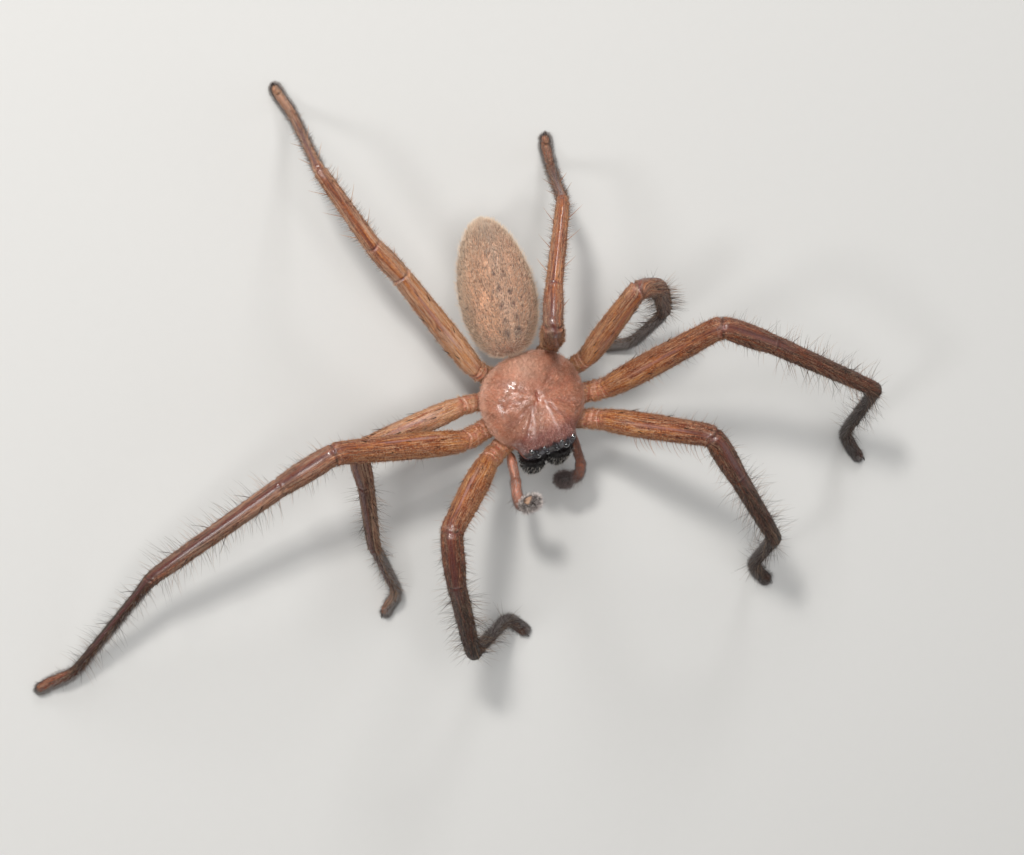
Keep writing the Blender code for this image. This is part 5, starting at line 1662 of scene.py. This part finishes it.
class SPIDER_OT_abdomen(bpy.types.Operator):
    """Adds the abdomen's skin and coat, the pedicel and the spinnerets"""

    bl_idname = "spider.abdomen"
    bl_label = "Abdomen"

    def execute(self, context):
        look = context.scene.spider_abdomen
        body = Abdomen(look.coat_depth / MM)
        skin_piece("abdomen_skin", body, abdomen_skin_finish(look), ("abdomen",))
        coat_finish = abdomen_coat_finish(look)
        half = look.coat_count // 2
        for number in range(2):
            hair = Coat(f"abdomen_coat_{number + 1}", 21 + number)
            along = self.spread_along(hair, half)
            turn = hair.spread(half, 0.0, math.pi) - math.pi * number
            length = look.coat_length / MM * hair.spread(half, 0.6, 1.15)
            pale = np.where(hair.spread(half, 0.0, 1.0) < 0.19, -1.0, hair.spread(half, 0.0, 1.0) ** 1.5)
            hair.grow(body, along, turn, length, 0.016, (8.0, 30.0), 0.0, 0.16, pale)
            along = self.spread_along(hair, ABDOMEN_FUZZ)
            turn = hair.spread(ABDOMEN_FUZZ, 0.0, math.pi) - math.pi * number
            length = 0.55 * hair.spread(ABDOMEN_FUZZ, 0.6, 1.3)
            hair.grow(body, along, turn, length, 0.012, (45.0, 80.0), -30.0, 0.3, (0.7, 1.0), 2)
            hair.piece(coat_finish, "abdomen_coat")
        under = mottled_finish("pedicel_cuticle", look.pedicel_colour, 0.3, 0.4, 0.5)
        start, end = standing(PEDICEL_START), np.asarray(ABDOMEN_FRONT) - body.way * SPINNERET_GAP
        pedicel = path_tube((start, (start + end) / 2.0, end), PEDICEL_RADII, body.up, 0.3, 0.9)
        skin_piece("pedicel_skin", pedicel, under, ("pedicel",))
        self.spinnerets(Abdomen(0.0), under)
        return {"FINISHED"}

    @staticmethod
    def spinnerets(body, finish):
        """The mound under the abdomen's end and two pairs of tapered spinnerets, hairs at their tips."""
        place = np.full((2, 1), SPINNERET_SHARE) + np.array(((0.0,), (0.02,)))
        foot, later = body.skin(place, np.full((2, 1), math.pi))[:, 0]
        slope = unit(later - foot)
        out = unit(np.cross(slope, body.side))
        out = out * -np.sign(out[2])
        centre = foot + out * (SPINNERET_MOUND[2] + SPINNERET_GAP)
        wide, deep, tall = SPINNERET_MOUND
        mound = Ball(centre - out * SPINNERET_ROOT, (wide, deep, tall + SPINNERET_ROOT), 32, 20, 0.8,
                     (body.side, -slope, out))
        skin_piece("spinneret_mound", mound, finish, ("spinnerets",))
        outward, backward, sideways = SPINNERET_LEAN
        hair = Coat("spinneret_hair", 29)
        along = hair.spread(MOUND_HAIRS, 0.2, 0.6)
        hair.grow(mound, along, ROUND, (0.12, 0.3), 0.011, (40.0, 75.0), -10.0, 0.3)
        for sign in (-1.0, 1.0):
            for number, (offset, reach) in enumerate(SPINNERETS):
                base = centre + body.side * (SPINNERET_SPREAD * sign) + slope * offset
                way = unit(out * outward + np.array((0.0, backward, 0.0)) + body.side * (sideways * sign))
                path = [base + way * (reach * share) for share in (0.0, 0.4, 0.8, 1.0)]
                tube = path_tube(path, SPINNERET_HALF, out, 0.1, 0.5)
                tag = "l" if sign > 0.0 else "r"
                skin_piece(f"spinneret_{number + 1}_{tag}", tube, finish, ())
                along = hair.spread(SPINNERET_HAIRS, 0.4, 2.98)
                hair.grow(tube, along, ROUND, (0.12, 0.3), 0.010, (20.0, 60.0), -10.0, 0.3)
        hair.piece(body_hair_finish("spinneret_hair", *SPINNERET_HAIR_COLOURS, 0.5), "underside_cuticle")

    @staticmethod
    def spread_along(hair, count):
        """Places along the abdomen, more where it is wide."""
        t = hair.spread(count, 0.02, 0.98)
        return 0.5 - 0.5 * np.cos(math.pi * t)


class SPIDER_OT_legs(bpy.types.Operator):
    """Adds the skin of each leg, its hairs, bristles, spines, claws and foot brush"""

    bl_idname = "spider.legs"
    bl_label = "Legs"

    def execute(self, context):
        look = context.scene.spider_legs
        skin, hair, brush = leg_skin_finish(look), leg_hair_finish(look), brush_finish("foot_hair", look, 1.0)
        for number, name in enumerate(POSES):
            leg = Leg(name)
            nodes = [f"leg_{name}_{part}" for part in ("coxa", "femur", "tibia", "foot")]
            skin_piece(f"leg_{name}_skin", leg, skin, nodes)
            coat = Coat(f"leg_{name}_coat", 51 + number)
            self.short_hair(coat, leg, look)
            self.bristles(coat, leg, look)
            self.spines(coat, leg)
            self.claws(coat, leg)
            coat.piece(hair, "leg_cuticle")
            foot = Coat(f"leg_{name}_brush", 71 + number)
            self.foot_brush(foot, leg)
            foot.piece(brush, "foot_cuticle")
        return {"FINISHED"}

    @staticmethod
    def short_hair(coat, leg, look):
        """Lying hair on the sides and underneath, thin on the bare back."""
        reach = leg.lengths[:5]
        widths = np.array((0.8, 0.96, 0.86, 0.7, 0.4)) * leg.radius
        area = math.tau * reach * widths
        count = int(look.hair_density * area.sum())
        stretch = coat.draw.choice(5, count, p=area / area.sum())
        along = np.maximum(stretch + coat.spread(count, 0.0, 1.0), 0.35)
        turn = coat.spread(count, -math.pi, math.pi)
        marks = leg.marks(along, turn)
        kept = coat.spread(count, 0.0, 1.0) > marks["bare"] * 1.2
        along, turn, dim = along[kept], turn[kept], 1.0 - 0.85 * marks["tone"][kept]
        size = len(along)
        shorter = np.interp(along, (0, 4, 5.5), (1.0, 1.0, 0.7))
        length = look.hair_length / MM * coat.spread(size, 0.6, 1.3) * shorter
        side = np.abs(np.sin(turn)) ** 2
        pale = coat.spread(size, 0.0, 1.0) ** 2 * (0.5 + 0.5 * side) * dim
        pick = coat.spread(size, 0.0, 1.0)
        # A few full pale hairs are painted glints; others are dark.
        pale = np.where(pick < 0.07, 1.0, np.where(pick > 0.85, -0.7, pale))
        coat.grow(leg, along, turn, length, 0.012, (8.0, 26.0), 0.0, 0.16, pale)
        upright = side > coat.spread(size, 0.1, 1.2)
        along, turn, dim = along[upright], turn[upright], dim[upright]
        fuzz = len(along)
        length = look.fuzz_length / MM * coat.spread(fuzz, 0.5, 1.3)
        coat.grow(leg, along, turn, length, 0.015, coat.spread(fuzz, 45.0, 85.0), 0.0, 0.3,
                  coat.spread(fuzz, 0.1, 0.9) * dim ** 0.6)
        along = coat.draw.choice(JOINT_FRINGES, JOINT_HAIRS) + coat.draw.normal(0.0, 0.012, JOINT_HAIRS)
        coat.grow(leg, along, ROUND, (0.2, 0.42), 0.013, (15.0, 60.0), -10.0, 0.4, (0.7, 1.0), 2)

    @staticmethod
    def bristles(coat, leg, look):
        """Long, curved, standing bristles, most on the tibia and metatarsus."""
        share = BRISTLE_SHARES[leg.name]
        for low, high, count, size in BRISTLE_ROWS:
            along = low + (high - low) * (np.arange(count) + coat.spread(count, 0.0, 1.0)) / count
            sides = np.where(np.arange(count) % 2 == 0, -1.0, 1.0)
            turn = sides * np.radians(coat.draw.normal(92.0, 36.0, count))
            length = look.bristle_length / MM * size * coat.spread(count, 0.4, 1.15) * share
            coat.grow(leg, along, turn, length, 0.0125, coat.spread(count, 70.0, 88.0), -15.0, 0.12,
                      np.where(coat.spread(count, 0.0, 1.0) < 0.35, 0.45, -0.8), 4)
        if leg.pair == 0:
            count = FEMUR_BRISTLES
            along = 1.3 + 0.62 * (np.arange(count) + coat.spread(count, 0.2, 0.8)) / count
            inner = 1.0 if leg.name[0] == "l" else -1.0
            turn = inner * np.radians(coat.spread(count, 78.0, 104.0))
            coat.grow(leg, along, turn, (1.5, 2.3), 0.022, (54.0, 66.0), -30.0, 0.1, (-0.3, 0.4), 4)

    @staticmethod
    def spines(coat, leg):
        """Strong spines in the order that the family has, thicker on the femur, paler on the fourth legs:
        partly translucent pale and partly painted glint.
        """
        table = np.array(SPINES, float)
        size = len(table)
        along = table[:, 0] + coat.spread(size, -0.015, 0.015)
        turn = np.radians(table[:, 1] + coat.spread(size, -7.0, 7.0))
        length = table[:, 2] * coat.spread(size, 0.92, 1.08)
        thick = np.where(table[:, 0] < 2.0, 0.042, 0.036)
        # Pale spines on the fourth legs: partly translucent pale and partly painted glint.
        pale_and_glinting = (leg.pair == 3) & ((table[:, 0] > 2.0) | (leg.name == "l4"))
        coat.grow(leg, along, turn, length, thick, table[:, 3], -8.0, 0.05, np.where(pale_and_glinting, 0.3, -1.0), 5, 5)

    @staticmethod
    def claws(coat, leg):
        """Two curved claws at the tip of the tarsus."""
        coat.grow(leg, np.full(2, 5.985), np.array((-0.5, 0.5)), 0.5, 0.05, 62.0, -75.0, 0.0, -1.0, 6, 6)

    @staticmethod
    def foot_brush(coat, leg):
        """Dense grey brush under the metatarsus and tarsus, paler on legs with pale down and painted sheen,
        and the tip's tuft.
        """
        along = coat.spread(BRUSH_HAIRS, 4.08, 5.97)
        turn = wrapped(math.pi + coat.draw.normal(0.0, 0.95, BRUSH_HAIRS))
        length = 0.4 * coat.spread(BRUSH_HAIRS, 0.6, 1.25)
        lean = coat.spread(BRUSH_HAIRS, 45.0, 80.0)
        pale = coat.spread(BRUSH_HAIRS, 0.2, 1.1) + 2.0 * LEG_DOWN_AND_SHEEN[leg.name]
        coat.grow(leg, along, turn, length, 0.014, lean, -14.0, 0.3, pale)
        along = coat.spread(TUFT_HAIRS, 5.8, 5.99)
        turn = wrapped(math.pi + coat.draw.normal(0.0, 1.1, TUFT_HAIRS))
        length = 0.38 * coat.spread(TUFT_HAIRS, 0.5, 1.2)
        coat.grow(leg, along, turn, length, 0.014, (15.0, 50.0), -20.0, 0.3, (0.3, 1.0), 2)


class SPIDER_PT_panel(bpy.types.Panel):
    """Lists the spider's pieces and their settings"""

    bl_idname = "SPIDER_PT_panel"
    bl_label = "Huntsman spider"
    bl_space_type = "VIEW_3D"
    bl_region_type = "UI"
    bl_category = "Spider"

    def draw(self, context):
        layout = self.layout
        for group, steps in PANEL_ROWS:
            box = layout.box()
            settings = getattr(context.scene, group)
            for key in settings.__annotations__:
                box.prop(settings, key)
            for step in steps:
                box.operator(step)


PANEL_ROWS = (
    ("spider_stage", ("spider.stage",)),
    ("spider_fore_body", ("spider.prosoma", "spider.eyes", "spider.mouth_parts", "spider.palps")),
    ("spider_abdomen", ("spider.abdomen",)),
    ("spider_legs", ("spider.legs",)),
)
SETTINGS = {
    "spider_fore_body": ForeBodyLook,
    "spider_legs": LegLook,
    "spider_abdomen": AbdomenLook,
    "spider_stage": StageLook,
}
OPERATORS = (SPIDER_OT_stage, SPIDER_OT_prosoma, SPIDER_OT_eyes, SPIDER_OT_mouth_parts, SPIDER_OT_palps,
             SPIDER_OT_abdomen, SPIDER_OT_legs)


def register():
    """Registers the settings, operators and panel."""
    for name, group in SETTINGS.items():
        bpy.utils.register_class(group)
        setattr(bpy.types.Scene, name, bpy.props.PointerProperty(type=group))
    for step in OPERATORS:
        bpy.utils.register_class(step)
    bpy.utils.register_class(SPIDER_PT_panel)


def unregister():
    """Takes back what register added."""
    bpy.utils.unregister_class(SPIDER_PT_panel)
    for step in reversed(OPERATORS):
        bpy.utils.unregister_class(step)
    for name, group in SETTINGS.items():
        delattr(bpy.types.Scene, name)
        bpy.utils.unregister_class(group)


def main():
    """Builds every piece in order."""
    register()
    bpy.ops.spider.stage()
    bpy.ops.spider.prosoma()
    bpy.ops.spider.eyes()
    bpy.ops.spider.mouth_parts()
    bpy.ops.spider.palps()
    bpy.ops.spider.abdomen()
    bpy.ops.spider.legs()


if __name__ == "__main__":
    main()
